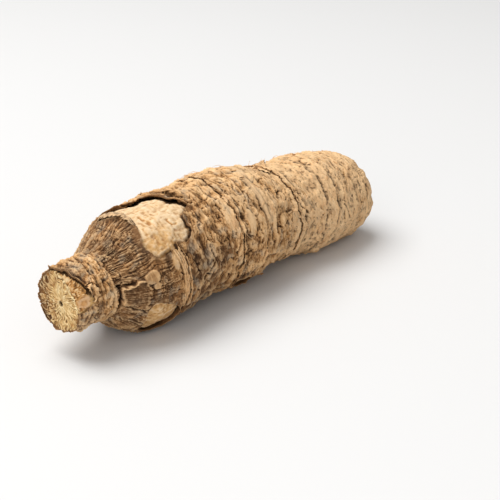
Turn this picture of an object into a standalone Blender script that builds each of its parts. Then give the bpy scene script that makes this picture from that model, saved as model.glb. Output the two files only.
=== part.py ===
"""Iris rhizome: a thick, ringed underground stem with a short cut neck, lying on its side.

The rhizome is one grown piece, so it is one object. Its neck points to -X, it rests on
flat spots at z = 0, and the origin is the middle of its footprint. Sizes are in
millimetres until the mesh is made. Places on the rhizome are (distance, turn): the
distance runs from the neck to the old end, and the turn goes round from the top, in
degrees, with 90 on the -Y side. Distance 0 is two millimetres behind the cut face.
"""

import itertools
import math

import bmesh
import bpy
import numpy as np

MM = 0.001

# Driving dimensions
NECK_END = -2.0
OLD_END = 152.0
GRAIN_SEED = 11
ROOT_SEED = 5
FACES_KEPT = 9000  # triangles left of the dense grid
GROUND_DEPTH = 10.0
FLAT = 0.0001  # what is lower than this is part of a flat spot
UNROLLED_RADIUS = 20.0  # turns count as lengths on a cylinder of this radius

# Distance, radius and height of the middle line, from the neck to the old end
STATIONS = [
    (-2, 10.9, 20.9),
    (4, 11.2, 21.4),
    (10.5, 11.6, 21.3),
    (13, 12.4, 21.0),
    (17, 15.3, 20.3),
    (22, 18.2, 20.1),
    (29, 20.5, 20.4),
    (37, 20.9, 20.8),
    (46, 20.8, 21.5),
    (58, 19.7, 21.9),
    (71, 21.2, 21.7),
    (83, 20.4, 21.6),
    (95, 18.1, 21.2),
    (106, 17.9, 20.1),
    (119, 19.3, 19.0),
    (131, 18.2, 18.2),
    (142, 17.0, 17.0),
    (152, 15.5, 15.6),
]
SIDEWAYS_BEND = 1.4  # how far the middle line swings in Y
LUMPINESS = 0.035  # slow lumps of the body, as a share of its radius

# The cut face of the neck
PITH_RADIUS = 0.9
PITH_DEPTH = 2.2
FACE_RIB_HEIGHT = 0.2
FACE_RIBS = 17
CHIP_TURN = 50.0  # the broken-off corner of the face points this way
CHIP_INSET = 7.3  # how far out the face reaches under the chip
CHIP_SLOPE = 0.72

# The old end: a rounded shoulder and a shallow scar
SHOULDER_START = 141.0
SCAR_SHARE = 0.5  # of the radius where the shoulder starts
SCAR_DEPTH = 1.6

# Rings left by old leaf bases: distance, height, slant in millimetres, turn of the slant
RINGS = [
    (3.2, 0.5, 0.8, 40),
    (6.4, 0.7, 0.7, 90),
    (9.0, 0.8, 0.4, 20),
    (11.2, 0.9, 0.4, 140),
    (35.0, 0.6, 1.2, 80),
    (53.0, 0.6, 1.6, 150),
    (59.0, 0.5, 1.8, 60),
    (65.5, 1.1, 1.3, 20),
    (75.5, 0.8, 1.6, 60),
    (81.5, 1.0, 1.8, 30),
    (90.5, 0.6, 1.7, 120),
    (100.0, 1.1, 1.6, 100),
    (110.0, 0.6, 1.5, 40),
    (118.0, 0.8, 1.5, 10),
    (128.5, 1.0, 1.4, 60),
    (139.0, 0.8, 1.0, 140),
]

# Where the bark has peeled off: outlines of (distance, turn)
BARK = 1.0  # thickness of the bark
LIP = 0.55  # how far it is raised round a peeling
LIP_WIDTH = 1.3
CRINKLE = 0.5  # height of the bark's creases
CREASES_FADE_IN = (30, 50)
RAGGEDNESS = 0.9  # how far the edge of a peeling wanders
UPPER_PEEL = [
    (23.5, -22),
    (28, -33),
    (35, -33),
    (39, -22),
    (43.5, -10),
    (45.5, 4),
    (48, 15),
    (51, 22),
    (46, 28),
    (44.5, 38),
    (44, 50),
    (40, 54),
    (35, 58),
    (29, 57),
    (26, 44),
    (26.5, 20),
    (25.5, -4),
]
LOWER_PEEL = [
    (21, 106),
    (24, 100),
    (29, 100),
    (33, 109),
    (37, 117),
    (34, 130),
    (27, 134),
    (21, 128),
]
# Middle, half length, half width and tilt of oval peelings on the hidden sides
OVAL_PEELS = [
    (92, -84, 9.0, 6.5, 20),
    (121, 34, 7.5, 5.0, -30),
    (52, -118, 6.0, 4.5, 10),
    (134, -60, 5.0, 4.0, 0),
    (72, 138, 6.5, 3.5, 15),
]

# Cracks and holes: depth, half width, and the places that the crack runs through
CRACKS = [
    (1.5, 0.75, [(13.6, 72), (13.2, 88), (13.6, 106)]),
    (1.1, 0.6, [(12, 113), (15.5, 107), (21, 114)]),
    (1.2, 0.7, [(50, 76), (50.5, 88), (48, 94)]),
    (1.0, 0.6, [(66.4, -12), (65.4, 18), (66.8, 40), (65.6, 66), (65, 100), (66, 140)]),
    (1.8, 1.1, [(94.5, 2), (95.5, 13)]),
    (1.1, 0.7, [(99.5, 44), (101, 62), (104.5, 78)]),
    (1.3, 0.9, [(108, 4), (112, 13)]),
    (1.0, 0.7, [(80, -120), (84, -100), (83, -70)]),
    (1.1, 0.7, [(116, -150), (119, -120), (117, -95)]),
]

# The loose scale on the front shoulder, and the round scar above it
SCALE_OUTLINE = [(14.2, 76), (17, 71), (21.5, 73), (22, 92), (21, 112), (15, 110), (14.2, 95)]
SCALE_HEIGHT = 0.8
DISC_PLACE = (24.2, 72)
DISC_RADIUS = 2.9
DISC_HEIGHT = 0.5

# Scars of cut roots on the underside
ROOTS = 17
ROOT_SCAR_RADIUS = (1.5, 2.3)
ROOT_SCAR_HEIGHT = 0.8

# Folds along the shoulder, behind the neck
FOLDS_FROM, FOLDS_TO = 11.0, 28.0
FOLD_HEIGHT = 0.75
FOLDS_ROUND = 30

# Loose edges of bark: the places their roots run through, then reach, lift and side.
# Side 1 reaches to the left of the way the root runs, and -1 to the right.
FLAP_THICKNESS = 0.65
FLAP_SINK = 1.3  # how deep the two ends of a flap are sunk in the skin
FLAP_STEPS = 4
FLAP_JAG = 0.28
# Share of the reach, and share of the lift, of each line of points across a flap
FLAP_SECTION = [(-1.1, -1.2), (-0.45, 0.1), (0.1, 0.45), (0.6, 0.75), (1.0, 1.0)]
FLAPS = [
    ([(38, -30), (43, -13), (45.5, 3), (48.5, 15), (52.5, 21)], 1.9, 1.6, 1),
    ([(27, -31), (24.5, -20), (25, -9), (28, 0)], 2.6, 1.7, -1),
    ([(15.8, 108), (14.9, 95), (15.3, 80), (18, 73), (22, 73)], 1.7, 1.6, 1),
    ([(45.5, 52), (45.8, 42), (46.3, 31)], 1.5, 1.5, -1),
    ([(23, 97), (28, 97.5), (32.5, 104)], 1.5, 1.4, 1),
    ([(101, -80), (99, -60), (100.5, -30), (99.5, 0), (101, 30)], 1.7, 1.7, -1),
]
# Curls of bark that stand off the rim of the cut face: first turn, last turn, reach
RIM_CURLS = [(-75, -28, 1.4), (-118, -86, 1.1), (-172, -136, 1.6), (8, 62, 1.0)]
CURL_STAND_OFF = 0.8
CURL_STEPS = 9

GRID_ROWS_PER_MM = 2.0
GRID_COLUMNS = 240

SKIN_COLOUR = (0.33, 0.2, 0.11, 1.0)


def smooth_through(at, xs, ys):
    """Heights at the given places on a smooth curve through points, with no overshoot."""
    xs, ys = np.asarray(xs, float), np.asarray(ys, float)
    step = np.diff(xs)
    slope = np.diff(ys) / step
    product = slope[:-1] * slope[1:]
    total = slope[:-1] + slope[1:]
    safe = np.where(product > 0, total, 1.0)
    inner = np.where(product > 0, 2 * product / safe, 0.0)
    tangent = np.concatenate([[slope[0]], inner, [slope[-1]]])
    i = np.clip(np.searchsorted(xs, at) - 1, 0, len(xs) - 2)
    t = (at - xs[i]) / step[i]
    return (
        ys[i] * (1 + 2 * t) * (1 - t) ** 2
        + tangent[i] * step[i] * t * (1 - t) ** 2
        + ys[i + 1] * t * t * (3 - 2 * t)
        + tangent[i + 1] * step[i] * t * t * (t - 1)
    )


def ramp(value, low, high):
    """0 below low, 1 above high, and smooth between them."""
    t = np.clip((value - low) / (high - low), 0, 1)
    return t * t * (3 - 2 * t)


def gradient_noise(x, y, z, seed):
    """Smooth noise of about -1 to 1, whose lumps are one unit apart."""
    draw = np.random.RandomState(seed)
    table = draw.permutation(256)
    way = draw.normal(size=(256, 3))
    way /= np.linalg.norm(way, axis=1)[:, None]
    point = np.stack(np.broadcast_arrays(x, y, z), -1).astype(float)
    cell = np.floor(point).astype(int)
    inside = point - cell
    ease = inside**3 * (inside * (inside * 6 - 15) + 10)
    total = np.zeros(point.shape[:-1])
    for corner in itertools.product((0, 1), repeat=3):
        a, b, c = ((cell[..., k] + corner[k]) & 255 for k in range(3))
        gradient = way[table[(table[(table[a] + b) & 255] + c) & 255]]
        weight = np.prod(np.where(corner, ease, 1 - ease), axis=-1)
        total += weight * ((inside - corner) * gradient).sum(-1)
    return 1.6 * total


def round_noise(distance, turn, along, around, seed):
    """Noise on the skin, with lumps of these two lengths, that closes round the body."""
    ring = UNROLLED_RADIUS / around
    return gradient_noise(distance / along, ring * np.cos(turn), ring * np.sin(turn), seed)


def radius_and_middle(distance):
    """Radius, sideways place and height of the middle line at each distance."""
    places, radii, heights = zip(*STATIONS)
    sideways = SIDEWAYS_BEND * np.sin(math.tau * (distance - 20) / OLD_END)
    return (
        smooth_through(distance, places, radii),
        sideways,
        smooth_through(distance, places, heights),
    )


def unrolled(distance, turn):
    """The skin laid flat: turns become lengths, with the seam on the hidden side."""
    wrapped = (turn + math.radians(160)) % math.tau - math.radians(160)
    return distance, wrapped * UNROLLED_RADIUS


def flat_outline(places):
    return [(place, math.radians(turn) * UNROLLED_RADIUS) for place, turn in places]


def distance_to_line(x, y, points):
    """Distance from each point of the flat skin to a line through points."""
    nearest = np.full(x.shape, np.inf)
    for (ax, ay), (bx, by) in zip(points, points[1:]):
        run = (bx - ax) ** 2 + (by - ay) ** 2
        t = np.clip(((x - ax) * (bx - ax) + (y - ay) * (by - ay)) / run, 0, 1)
        nearest = np.minimum(nearest, np.hypot(x - ax - t * (bx - ax), y - ay - t * (by - ay)))
    return nearest


def depth_inside(x, y, points):
    """Distance to a closed outline, above 0 inside it and below 0 outside it."""
    closed = points + points[:1]
    inside = np.zeros(x.shape, bool)
    for (ax, ay), (bx, by) in zip(closed, closed[1:]):
        crosses = (ay > y) != (by > y)
        rise = by - ay if by != ay else 1.0
        inside ^= crosses & (x < ax + (y - ay) / rise * (bx - ax))
    edge = distance_to_line(x, y, closed)
    return np.where(inside, edge, -edge)


def oval_outline(place, turn, half_length, half_width, tilt):
    """An oval on the flat skin, as a closed outline."""
    middle = math.radians(turn) * UNROLLED_RADIUS
    lean = math.radians(tilt)
    points = []
    for k in range(14):
        a = math.tau * k / 14
        x, y = half_length * math.cos(a), half_width * math.sin(a)
        points.append(
            (
                place + x * math.cos(lean) - y * math.sin(lean),
                middle + x * math.sin(lean) + y * math.cos(lean),
            )
        )
    return points


def root_scars():
    """Place, turn in radians and radius of each cut root, spread over the underside."""
    draw = np.random.RandomState(ROOT_SEED)
    scars = []
    while len(scars) < ROOTS:
        place, turn = draw.uniform(24, 138), math.radians(180 + draw.normal(0, 34))
        radius = draw.uniform(*ROOT_SCAR_RADIUS)
        apart = [
            math.hypot(place - p, (turn - t) * UNROLLED_RADIUS) > 2.2 * (radius + r)
            for p, t, r in scars
        ]
        if all(apart):
            scars.append((place, turn, radius))
    return scars


def peeled(x, y):
    """How far inside a peeling each point of the flat skin is, with ragged edges."""
    outlines = [flat_outline(UPPER_PEEL), flat_outline(LOWER_PEEL)]
    outlines += [oval_outline(*oval) for oval in OVAL_PEELS]
    wander_x = RAGGEDNESS * gradient_noise(x / 4, y / 4, 0, GRAIN_SEED)
    wander_y = RAGGEDNESS * gradient_noise(x / 4, y / 4, 7, GRAIN_SEED)
    inside = [depth_inside(x + wander_x, y + wander_y, outline) for outline in outlines]
    return np.max(inside, axis=0)


def ring_relief(distance, turn):
    """Leaf-base rings: each rises slowly towards its edge and drops off behind it."""
    relief = np.zeros(distance.shape)
    for place, height, slant, slant_turn in RINGS:
        edge = place + slant * np.cos(turn - math.radians(slant_turn))
        edge = edge + 0.7 * round_noise(0 * distance, turn, 1, 5, GRAIN_SEED + int(place))
        past = distance - edge
        strength = 0.75 + 0.5 * round_noise(0 * distance, turn, 1, 9, 40 + int(place))
        rise = np.exp(np.minimum(past, 0) / 2.2) * (1 - ramp(past, 0, 1.0))
        groove = ramp(past, 0, 0.9) * np.exp(-np.maximum(past - 0.9, 0) / 1.3)
        relief += height * strength * (rise - 0.7 * groove)
    return relief


def fold_relief(distance, turn):
    """Lengthwise folds of the shoulder."""
    zone = ramp(distance, FOLDS_FROM, FOLDS_FROM + 3) * (1 - ramp(distance, FOLDS_TO - 6, FOLDS_TO))
    sway = 0.25 * round_noise(distance, turn, 9, 12, GRAIN_SEED + 1)
    fold = np.sin(FOLDS_ROUND * (turn + sway)) * (
        0.7 + 0.5 * round_noise(distance, turn, 8, 6, GRAIN_SEED + 2)
    )
    return zone * FOLD_HEIGHT * fold


def scar_relief(distance, turn):
    """Low rimmed bumps where roots were cut, each with a dimple."""
    relief = np.zeros(distance.shape)
    for place, scar_turn, radius in root_scars():
        off = (turn - scar_turn + math.pi) % math.tau - math.pi
        away = np.hypot(distance - place, off * UNROLLED_RADIUS) / radius
        relief += ROOT_SCAR_HEIGHT * (1 - ramp(away, 0.75, 1.15))
        relief -= 1.1 * ROOT_SCAR_HEIGHT * (1 - ramp(away, 0.2, 0.65))
    return relief


def crack_relief(x, y):
    relief = np.zeros(x.shape)
    for depth, half_width, places in CRACKS:
        away = distance_to_line(x, y, flat_outline(places))
        relief -= depth * (1 - ramp(away, 0.25 * half_width, 1.3 * half_width))
    return relief


def side_relief(distance, turn):
    """Height of the skin over the smooth body."""
    x, y = unrolled(distance, turn)
    bare = peeled(x, y)
    bark_here = 1 - ramp(bare, -0.1, 0.75)
    lip = LIP * np.exp(-np.maximum(-bare, 0) / LIP_WIDTH) * bark_here
    scale = depth_inside(x, y, flat_outline(SCALE_OUTLINE))
    disc_x, disc_y = flat_outline([DISC_PLACE])[0]
    disc = np.hypot(x - disc_x, y - disc_y)
    skin = ring_relief(distance, turn) + fold_relief(distance, turn) + lip
    skin += SCALE_HEIGHT * ramp(scale, -0.5, 0.3) + DISC_HEIGHT * (1 - ramp(disc, 2.4, DISC_RADIUS))
    skin += CRINKLE * round_noise(distance, turn, 6, 3.2, GRAIN_SEED + 3)
    crease = 1 - 2 * np.abs(round_noise(distance, turn, 9, 5, GRAIN_SEED + 6))
    skin += CRINKLE * crease * ramp(distance, *CREASES_FADE_IN)
    skin += scar_relief(distance, turn) + crack_relief(x, y)
    soft = 0.3 * round_noise(distance, turn, 5, 5, GRAIN_SEED + 4)
    return bark_here * (BARK + skin) + (1 - bark_here) * soft - BARK


def smooth_radius(distance, turn):
    """Radius of the body with its slow lumps, but without relief."""
    radius, _, _ = radius_and_middle(distance)
    return radius * (1 + LUMPINESS * round_noise(distance, turn, 22, 16, GRAIN_SEED + 5))


def body_radius(distance, turn):
    """Radius of the finished skin, with the chipped corner of the neck."""
    skin = smooth_radius(distance, turn) + side_relief(distance, turn)
    facing = np.maximum(np.cos(turn - math.radians(CHIP_TURN)), 0.05)
    chip = (CHIP_INSET + CHIP_SLOPE * (distance - NECK_END)) / facing
    return np.minimum(skin, chip)


def body_points():
    """Rows of points from the middle of the cut face, along the body, to the old end."""
    face = [(NECK_END, share) for share in np.linspace(0, 1, 16)[1:-1]]
    side_rows = int((SHOULDER_START - NECK_END) * GRID_ROWS_PER_MM)
    side = [(place, 1.0) for place in np.linspace(NECK_END, SHOULDER_START, side_rows)]
    bend = np.linspace(0, math.pi / 2, 26)[1:]
    shoulder = [
        (
            SHOULDER_START + (OLD_END - SHOULDER_START) * math.sin(a),
            SCAR_SHARE + (1 - SCAR_SHARE) * math.cos(a),
        )
        for a in bend
    ]
    scar = [(OLD_END, share) for share in np.linspace(SCAR_SHARE, 0, 9)[1:-1]]
    rows = np.array(face + side + shoulder + scar)
    distance, share = rows[:, :1], rows[:, 1:]
    turn = np.linspace(0, math.tau, GRID_COLUMNS, endpoint=False)[None, :]
    distance, share, turn = np.broadcast_arrays(distance, share, turn)

    radius = share * body_radius(distance, turn)
    at_face = distance < NECK_END + 0.001
    in_face = ramp(1 - share, 0, 0.12) * at_face
    ribs = np.sin(FACE_RIBS * turn + 2 * gradient_noise(3 * share, turn * 0, 2, 8))
    pith = np.exp(-((radius / PITH_RADIUS) ** 2))
    into = in_face * (FACE_RIB_HEIGHT * ribs * ramp(share, 0.15, 0.5))
    into = into + PITH_DEPTH * pith * at_face
    in_scar = (distance > SHOULDER_START) * (1 - ramp(share, SCAR_SHARE - 0.2, SCAR_SHARE))
    along = distance + into - SCAR_DEPTH * in_scar
    _, sideways, height = radius_and_middle(distance)
    return np.stack(
        [along, sideways - radius * np.sin(turn), height + radius * np.cos(turn)], -1
    )


def body_mesh():
    """The whole skin as one closed mesh in millimetres: a grid with a point at each end."""
    grid = body_points()
    rows, columns = grid.shape[:2]
    _, start_y, start_z = radius_and_middle(np.array([NECK_END]))
    _, end_y, end_z = radius_and_middle(np.array([OLD_END]))
    points = [tuple(p) for p in grid.reshape(-1, 3)]
    points.append((NECK_END + PITH_DEPTH, start_y[0], start_z[0]))
    points.append((OLD_END - SCAR_DEPTH, end_y[0], end_z[0]))
    first, last = rows * columns, rows * columns + 1
    faces = []
    for column in range(columns):
        after = (column + 1) % columns
        faces.append((first, after, column))
        faces.append((last, (rows - 1) * columns + column, (rows - 1) * columns + after))
        for row in range(rows - 1):
            a, b = row * columns + column, row * columns + after
            faces.append((a, b, b + columns, a + columns))
    mesh = bpy.data.meshes.new("rhizome")
    mesh.from_pydata(points, [], faces)
    return mesh


def sheet_object(name, top, bottom):
    """A thin closed solid between two grids of points."""
    rows, columns = len(top), len(top[0])
    points = [p for row in top for p in row] + [p for row in bottom for p in row]
    under = rows * columns
    faces = []
    for r in range(rows - 1):
        for c in range(columns - 1):
            a = r * columns + c
            quad = (a, a + 1, a + 1 + columns, a + columns)
            faces.append(quad)
            faces.append(tuple(under + i for i in reversed(quad)))
    rim = [c for c in range(columns)]
    rim += [r * columns + columns - 1 for r in range(1, rows)]
    rim += [(rows - 1) * columns + c for c in range(columns - 2, -1, -1)]
    rim += [r * columns for r in range(rows - 2, 0, -1)]
    for a, b in zip(rim, rim[1:] + rim[:1]):
        faces.append((b, a, under + a, under + b))
    mesh = bpy.data.meshes.new(name)
    mesh.from_pydata(points, [], faces)
    made = bmesh.new()
    made.from_mesh(mesh)
    bmesh.ops.recalc_face_normals(made, faces=made.faces)
    made.to_mesh(mesh)
    made.free()
    return bpy.data.objects.new(name, mesh)


def place_over_bark(distance, turn, above):
    """A point over the smooth body, where unbroken bark would be."""
    at, round_at = np.array([distance]), np.array([turn])
    _, sideways, height = radius_and_middle(at)
    out = smooth_radius(at, round_at)[0] + above
    return (distance, sideways[0] - out * math.sin(turn), height[0] + out * math.cos(turn))


def flap_object(name, places, reach, lift, side, seed):
    """A loose edge of bark: its root is sunk in the skin, and its free edge curls up."""
    path = np.array(flat_outline(places))
    count = FLAP_STEPS * len(path)
    along = np.linspace(0, 1, count)
    corners = np.linspace(0, 1, len(path))
    line = np.stack([np.interp(along, corners, path[:, k]) for k in range(2)], -1)
    heading = np.gradient(line, axis=0)
    heading /= np.linalg.norm(heading, axis=1)[:, None]
    across = side * np.stack([-heading[:, 1], heading[:, 0]], -1)
    jag = 1 + FLAP_JAG * np.random.RandomState(seed).uniform(-1, 1, count)
    taper = np.sin(math.pi * along) ** 0.6
    top, bottom = [], []
    for k in range(count):
        upper, lower = [], []
        for out, up in FLAP_SECTION:
            step = out * reach * (max(jag[k] * taper[k], 0.25) if out > 0 else 1)
            place, around = line[k] + across[k] * step
            above = up * lift * taper[k] - FLAP_SINK * (1 - taper[k])
            turn = around / UNROLLED_RADIUS
            upper.append(place_over_bark(place, turn, above))
            lower.append(place_over_bark(place, turn, above - FLAP_THICKNESS))
        top.append(upper)
        bottom.append(lower)
    return sheet_object(name, top, bottom)


def rim_curl_object(name, first, last, reach):
    """A strip of bark round part of the cut face, standing a little off the wood."""
    turns = np.radians(np.linspace(first, last, CURL_STEPS))
    shares = np.linspace(0.08, 0.92, CURL_STEPS)
    top, bottom = [], []
    for turn, share in zip(turns, shares):
        swell = math.sin(math.pi * share)
        upper, lower = [], []
        for back, out in ((3.4, -0.9), (1.6, 0.25), (0.0, 0.6), (-reach * swell, 0.95)):
            place = NECK_END + back
            stand = out * CURL_STAND_OFF * (swell if out > 0 else 1)
            upper.append(place_over_bark(place, turn, stand))
            lower.append(place_over_bark(place, turn, stand - FLAP_THICKNESS))
        top.append(upper)
        bottom.append(lower)
    return sheet_object(name, top, bottom)


def applied(obj):
    """Replaces an object's mesh by the mesh that its modifiers make of it."""
    graph = bpy.context.evaluated_depsgraph_get()
    mesh = bpy.data.meshes.new_from_object(obj.evaluated_get(graph))
    obj.modifiers.clear()
    obj.data = mesh


def keep_needed_faces(obj):
    """Merges faces where the skin is plain, so that edges and rings keep theirs."""
    faces = sum(len(p.vertices) - 2 for p in obj.data.polygons)
    thin_out = obj.modifiers.new("thin_out", "DECIMATE")
    thin_out.ratio = FACES_KEPT / faces
    applied(obj)


def combine(obj, pieces, operation):
    """Adds pieces to an object, or takes them from it, in one Boolean.

    Its solver is the one that always leaves a closed mesh, because thin bark that
    just meets the skin would leave open edges with the usual one.
    """
    group = bpy.data.collections.new("pieces")
    bpy.context.scene.collection.children.link(group)
    for piece in pieces:
        group.objects.link(piece)
    cut = obj.modifiers.new("combine", "BOOLEAN")
    cut.operation = operation
    cut.operand_type = "COLLECTION"
    cut.collection = group
    cut.solver = "MANIFOLD"
    applied(obj)
    for piece in pieces:
        bpy.data.objects.remove(piece)
    bpy.data.collections.remove(group)


def ground_block():
    """Everything below z = 0, as a block."""
    block = bmesh.new()
    bmesh.ops.create_cube(block, size=1.0)
    bmesh.ops.scale(block, vec=(2 * OLD_END, OLD_END, GROUND_DEPTH), verts=block.verts)
    bmesh.ops.translate(block, vec=(OLD_END / 2, 0, -GROUND_DEPTH / 2), verts=block.verts)
    mesh = bpy.data.meshes.new("ground")
    block.to_mesh(mesh)
    block.free()
    return bpy.data.objects.new("ground", mesh)


def keep_largest_shell(obj):
    """Drops loose scraps, and fills the small pockets that fusing has sealed."""
    made = bmesh.new()
    made.from_mesh(obj.data)
    left = set(made.faces)
    shells = []
    while left:
        shell = [left.pop()]
        for face in shell:
            for edge in face.edges:
                for other in edge.link_faces:
                    if other in left:
                        left.remove(other)
                        shell.append(other)
        shells.append(shell)
    largest = max(shells, key=len)
    for shell in shells:
        if shell is not largest:
            bmesh.ops.delete(made, geom=shell, context="FACES")
    under = [v for v in made.verts if all(w.co.z < FLAT for e in v.link_edges for w in e.verts)]
    bmesh.ops.dissolve_verts(made, verts=under)
    bmesh.ops.triangulate(made, faces=made.faces)
    made.to_mesh(obj.data)
    made.free()


def centre_footprint(obj):
    """Moves the mesh so that the origin is under the middle of its box, and sets metres."""
    points = np.empty(len(obj.data.vertices) * 3)
    obj.data.vertices.foreach_get("co", points)
    points = points.reshape(-1, 3)
    middle = (points.min(0) + points.max(0)) / 2
    middle[2] = 0
    points = (points - middle) * MM
    obj.data.vertices.foreach_set("co", points.ravel())


def skin_material():
    material = bpy.data.materials.new("rhizome_skin")
    material.use_nodes = True
    shader = material.node_tree.nodes["Principled BSDF"]
    shader.inputs["Base Color"].default_value = SKIN_COLOUR
    shader.inputs["Roughness"].default_value = 0.88
    shader.inputs["Metallic"].default_value = 0.0
    return material


def clear_scene():
    for obj in list(bpy.data.objects):
        bpy.data.objects.remove(obj)


def build():
    clear_scene()
    rhizome = bpy.data.objects.new("rhizome", body_mesh())
    bpy.context.scene.collection.objects.link(rhizome)
    keep_needed_faces(rhizome)
    loose = [flap_object(f"flap_{k}", *flap, k + 1) for k, flap in enumerate(FLAPS)]
    loose += [rim_curl_object(f"curl_{k}", *curl) for k, curl in enumerate(RIM_CURLS)]
    combine(rhizome, loose, "UNION")
    combine(rhizome, [ground_block()], "DIFFERENCE")
    keep_largest_shell(rhizome)
    centre_footprint(rhizome)
    rhizome.data.materials.clear()
    rhizome.data.materials.append(skin_material())
    rhizome.data.shade_smooth()
    rhizome.data.set_sharp_from_angle(angle=math.radians(38))


build()
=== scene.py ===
import itertools
import math
from functools import partial

import bpy
import numpy as np
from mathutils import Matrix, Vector


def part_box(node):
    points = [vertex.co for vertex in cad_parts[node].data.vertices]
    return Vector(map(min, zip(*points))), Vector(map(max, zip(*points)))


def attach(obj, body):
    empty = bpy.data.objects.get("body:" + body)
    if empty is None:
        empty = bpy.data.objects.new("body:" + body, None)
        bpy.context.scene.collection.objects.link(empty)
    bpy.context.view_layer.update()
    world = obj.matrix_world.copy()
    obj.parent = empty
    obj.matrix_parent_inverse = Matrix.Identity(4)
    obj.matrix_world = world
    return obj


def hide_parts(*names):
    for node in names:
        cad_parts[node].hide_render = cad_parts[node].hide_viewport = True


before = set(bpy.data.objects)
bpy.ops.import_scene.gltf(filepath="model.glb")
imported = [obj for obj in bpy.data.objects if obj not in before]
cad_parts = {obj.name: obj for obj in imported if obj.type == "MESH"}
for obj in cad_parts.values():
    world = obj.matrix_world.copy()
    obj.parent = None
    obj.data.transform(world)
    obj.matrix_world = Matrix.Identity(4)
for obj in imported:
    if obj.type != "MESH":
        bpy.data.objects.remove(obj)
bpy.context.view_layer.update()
mm = 0.001

# The body: the same line and girth as the solid it is dressed round, in millimetres.
# A place is measured from the neck, and a turn goes round from the top, 90 towards -Y.
body = {
    "neckEnd": -2.0,
    "oldEnd": 152.0,
    "stations": [
        (-2, 10.9, 20.9), (4, 11.2, 21.4), (10.5, 11.6, 21.3), (13, 12.4, 21.0),
        (17, 15.3, 20.3), (22, 18.2, 20.1), (29, 20.5, 20.4), (37, 20.9, 20.8),
        (46, 20.8, 21.5), (58, 19.7, 21.9), (71, 21.2, 21.7), (83, 20.4, 21.6),
        (95, 18.1, 21.2), (106, 17.9, 20.1), (119, 19.3, 19.0), (131, 18.2, 18.2),
        (142, 17.0, 17.0), (152, 15.5, 15.6),
    ],
    "sidewaysBend": 1.4,
    "lumps": 0.035,
    "neckFlat": (1.9, 106, 30, 3.5),  # depth, turn and width of the neck's flat side, and its reach
    "seed": 11,
    "flatRadius": 20.0,  # turns count as lengths round a cylinder of this radius
    "shoulderStart": 141.0,
    "shoulderWalk": 14.7,  # way along the skin round the old end
    "scarShare": 0.5,
    "middleY": 0.57,  # where the middle of the footprint lies beside the line
}
middleX = body["oldEnd"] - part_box("rhizome")[1].x / mm
neckEnd, flatRadius, grainSeed = body["neckEnd"], body["flatRadius"], body["seed"]


def fade(value, low, high):
    t = np.clip((value - low) / (high - low), 0, 1)
    return t * t * (3 - 2 * t)


def bell(value, width):  # 1 at 0, and near 0 past the width
    return np.exp(-((value / width) ** 2))


def smoothThrough(at, xs, ys):  # a smooth curve through points, with no overshoot
    step = np.diff(xs)
    slope = np.diff(ys) / step
    product, total = slope[:-1] * slope[1:], slope[:-1] + slope[1:]
    inner = np.where(product > 0, 2 * product / np.where(product > 0, total, 1.0), 0.0)
    tangent = np.concatenate([[slope[0]], inner, [slope[-1]]])
    i = np.clip(np.searchsorted(xs, at) - 1, 0, len(xs) - 2)
    t = (at - xs[i]) / step[i]
    low = ys[i] * (1 + 2 * t) + tangent[i] * step[i] * t
    high = ys[i + 1] * (3 - 2 * t) + tangent[i + 1] * step[i] * (t - 1)
    return low * (1 - t) ** 2 + high * t * t


def gradientNoise(x, y, z, seed):  # about -1 to 1, with lumps one unit apart
    draw = np.random.RandomState(seed)
    table = draw.permutation(256)
    way = draw.normal(size=(256, 3))
    way /= np.linalg.norm(way, axis=1)[:, None]
    point = np.stack(np.broadcast_arrays(x, y, z), -1).astype(float)
    cell = np.floor(point).astype(int)
    inside = point - cell
    ease = inside**3 * (inside * (inside * 6 - 15) + 10)
    total = np.zeros(point.shape[:-1])
    for corner in itertools.product((0, 1), repeat=3):
        a, b, c = ((cell[..., k] + corner[k]) & 255 for k in range(3))
        spot = table[(table[(table[a] + b) & 255] + c) & 255]
        weight = np.ones(total.shape)
        slope = np.zeros(total.shape)
        for k in range(3):
            weight *= ease[..., k] if corner[k] else 1 - ease[..., k]
            slope += (inside[..., k] - corner[k]) * way[spot, k]
        total += weight * slope
    return 1.6 * total


def skinNoise(place, turn, along, around, seed):  # closes round the body
    ring = flatRadius / around
    return gradientNoise(place / along, ring * np.cos(turn), ring * np.sin(turn), seed)


def ridges(place, turn, along, around, seed):  # sharp crests at 1, wide valleys near 0
    return 1 - np.clip(2.4 * np.abs(skinNoise(place, turn, along, around, seed)), 0, 1)


roundTurns = np.linspace(0, math.tau, 1441)


def roundWander(turn, around, seed):  # noise that only changes round the body
    table = skinNoise(0 * roundTurns, roundTurns, 1, around, seed)
    return np.interp(turn % math.tau, roundTurns, table)


def middleLine(along):
    places, radii, heights = np.array(body["stations"], float).T
    sideways = body["sidewaysBend"] * np.sin(math.tau * (along - 20) / body["oldEnd"])
    return smoothThrough(along, places, radii), sideways, smoothThrough(along, places, heights)


def walkRound(place):  # along the body, then round the shoulder of the old end
    start, share = body["shoulderStart"], body["scarShare"]
    bend = np.clip((place - start) / body["shoulderWalk"], 0, 1) * math.pi / 2
    along = np.minimum(place, start) + (body["oldEnd"] - start) * np.sin(bend)
    return along, share + (1 - share) * np.cos(bend)


def plainRadius(along, turn):
    lumps = skinNoise(along, turn, 22, 16, grainSeed + 5)
    radius = middleLine(along)[0] * (1 + body["lumps"] * lumps)
    depth, spot, width, reach = body["neckFlat"]
    off = (np.degrees(turn) - spot + 180) % 360 - 180
    flatSide = np.exp(-((off / width) ** 2) - np.maximum(along - neckEnd, 0) / reach)
    return radius - depth * flatSide


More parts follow.
